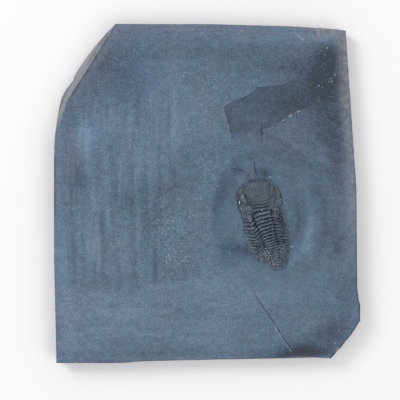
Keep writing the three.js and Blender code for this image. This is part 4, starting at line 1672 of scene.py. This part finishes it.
def mat_rule(u, v):
    """A crusty mat of gills along the left flank, with dark pits in it."""
    along = lerp(3.6, RINGS - 1.01, (u + 1) / 2)
    tip = rib_tip(along, -1)
    fade = 1 - u ** 4
    place = tip + Vector((-0.95, -0.3, 0)) * (lerp(-1.6, 1.0, (v + 1) / 2) * (0.4 + 0.6 * fade))
    x, y = place.x, place.y
    pit = ramp(rumple(x, y, 0.75, 90), 0.22, 0.4)
    height = on_stone(x, y) + 0.7 * arch(v) * fade + crust(x, y, 91, 2.2) * fade - 0.4 * pit
    shade = 0.1 + 0.5 * rumple(x, y, 1, 92)
    return (x, y, max(height, on_stone(x, y) + 0.03)), 0.15 + pit, shade


gill_mat = mould(*MAT_NET, mat_rule)
for corner in gill_mat.verts:
    if corner.is_boundary:
        corner.co.z = (on_stone(corner.co.x / MM, corner.co.y / MM) + 0.02) * MM
weather(gill_mat)
GILL_FINISH = make_shell("gill_mineral", (0.108, 0.148, 0.178), (0.068, 0.096, 0.116))
finish_piece("left_gill_mat", gill_mat, GILL_FINISH, "shell")
FRINGES = {"left": (-1, 3, 11, 60, (-0.2, 1.0), 38), "right": (1, 0, 11, 90, (-0.3, 0.9), 20)}
for side_name, plan in FRINGES.items():
    finish_piece(f"{side_name}_gill_fringe", fringe(*plan), LEG_FINISH, "pyrite")
# partly a dark thread, partly the right feeler's painted shadow
THREAD_AND_SHADOW_BY_RIGHT_FEELER = stone_route((27.3, 10.6), (26.6, 12.4), (26.3, 15), (26.1, 18.0), up=0.12)
BY_LEFT_FEELER = stone_route((20.3, 12.2), (18, 12.5), (15.2, 12.0), up=0.05)
PAST_LEFT_FLANK = stone_route((17.7, -16.3), (17.1, -19.4), (16.2, -23), up=0.03)
THREADS = [(THREAD_AND_SHADOW_BY_RIGHT_FEELER, jointed(0.32, 20, 0.3), 60, 8),
           (BY_LEFT_FEELER, jointed(0.16, 10, 0.5), 30, 8),
           (PAST_LEFT_FLANK, jointed(0.13, 10, 0.5), 30, 8)]
limb_piece("loose_threads", THREADS, THREAD_FINISH)
print("gill hairs:", sum(plan[3] for plan in FRINGES.values()), "threads:", len(THREADS))

# %% [markdown]
# ## Glinting crystals
# The pyrite's white sparks are painted glints: small crystals given a near-white finish,
# the largest beside the left eye, and a row down the left of the tail. Noise in a finish
# would put them just anywhere, so each is a real crystal at its own place, half sunk in
# what lies below.

# %% Glinting crystals
GLINTS = (  # x, y, half width and half length in mm, turn in degrees
    (17.9, -4.9, 0.28, 1.15, 8), (18.2, -2.6, 0.16, 0.6, 12), (19.7, -1.7, 0.13, 0.9, 20),
    (19.0, -8.3, 0.28, 0.3, 0), (22.8, -7.5, 0.25, 0.25, 0), (30.0, -9.3, 0.42, 0.2, 15),
    (37.4, -11.9, 0.26, 0.26, 0), (30.8, -26.7, 0.26, 0.36, 30), (32.3, -30.3, 0.24, 0.4, 40),
    (33.1, -31.6, 0.22, 0.4, 40), (34.0, -32.9, 0.2, 0.4, 40), (34.6, -34.1, 0.3, 0.22, 0),
    (40.7, -27.7, 0.42, 0.24, -30), (46.8, -29.4, 0.4, 0.28, 20), (34.7, 9.1, 0.4, 0.26, 0),
    (40.4, -3.3, 0.24, 0.24, 0), (36.9, -39.1, 0.3, 0.2, 0), (38.5, -39.1, 0.3, 0.2, 0),
    (25.3, -30.0, 0.2, 0.3, 0), (42.9, -4.9, 0.14, 0.7, 60), (36.8, -15.6, 0.2, 0.2, 0),
    (27.2, -19.6, 0.2, 0.3, 30), (23.8, -15.4, 0.2, 0.2, 0), (24.9, -25.2, 0.18, 0.3, 30),
    (39.6, -35.4, 0.2, 0.24, 0), (61.6, 59.3, 0.55, 0.26, 0), (63.4, 58.4, 0.26, 0.22, 0),
    (68.8, 61.9, 0.34, 0.3, 0), (67.3, 61.6, 0.22, 0.3, 0), (70.4, 65.2, 0.3, 0.3, 0),
    (66.1, 80.1, 0.26, 0.42, 0), (64.9, 76.3, 0.3, 0.2, 0),
)
surfaces = [stone_surface] + [surface_tree(plate) for plate in plates]


def top_at(x, y):
    """Height in mm of the highest surface, shell or stone, at a place in mm."""
    heights = [height_on(surface, x, y) for surface in surfaces]
    return max(height for height in heights if height is not None)


crystals = bmesh.new()
for x, y, half_width, half_length, turn in GLINTS:
    low = min(half_width, half_length)
    size = Matrix.Diagonal((half_width * MM, half_length * MM, low * MM, 1))
    place = moved_to(x, y, top_at(x, y) + 0.2 * low) @ turned_by(-turn) @ size
    bmesh.ops.create_icosphere(crystals, subdivisions=1, radius=1, matrix=place)
# painted glint: the crystals get a near-white finish
GLINT_FINISH = make_pyrite("painted_glint_pyrite", (0.85, 0.88, 0.90), (0.50, 0.54, 0.58), 0.25)
finish_piece("painted_glint_crystals", crystals, GLINT_FINISH, "pyrite")
print("crystals:", len(GLINTS))

# %% [markdown]
# ## Sparkling grains
# Here and there on the slate sits a grain of calcite or mica that catches the lamp as a
# white dot. A bump texture can't sparkle like that, so the grains are real: tiny crystals,
# half sunk in the stone, thickest to the left of the fossil.

# %% Grains on the slate
GRAIN_FIELDS = (  # x, y, half width, half height in mm, and how many
    (-17, -20, 16, 20, 150), (-18, -35, 8, 5, 60), (-24, -14, 8, 6, 30), (-2, 53, 5, 13, 26),
    (0.5, 8, 4, 6, 18), (65, 64, 5, 6, 14), (-40, 30, 34, 50, 60), (10, -60, 60, 26, 50),
    (13, -32, 2, 3, 4), (36, 9, 2, 2, 3), (46, -29, 3, 3, 4), (70, -80, 6, 6, 14), (0, 75, 60, 10, 26),
)


def scatter_grains():
    bm = bmesh.new()
    for x, y, half_width, half_height, count in GRAIN_FIELDS:
        for _ in range(count):
            gx, gy = chance.gauss(x, half_width * 0.5), chance.gauss(y, half_height * 0.5)
            if on_stone(gx, gy) is None:
                continue
            radius = 0.11 + 0.16 * chance.random() ** 3
            turn = Matrix.Rotation(chance.uniform(0, 6.28), 4, Vector((1, chance.random(), 0.4)))
            place = moved_to(gx, gy, on_stone(gx, gy) + 0.3 * radius)
            bmesh.ops.create_icosphere(bm, subdivisions=1, radius=radius * MM, matrix=place @ turn)
    return bm


def make_grains():
    grains, tree, shader, place = material("pale_mineral_grains")
    tone = ramp_node(tree, clouds(tree, place, 160, 2),
                     (0.35, (0.34, 0.38, 0.40)), (0.65, (0.80, 0.84, 0.86)))
    feed_all(tree, shader, Base_Color=tone, Roughness=0.25)
    return grains


finish_piece("pale_grains", scatter_grains(), make_grains(), "slate")
print("grains:", sum(field[4] for field in GRAIN_FIELDS))
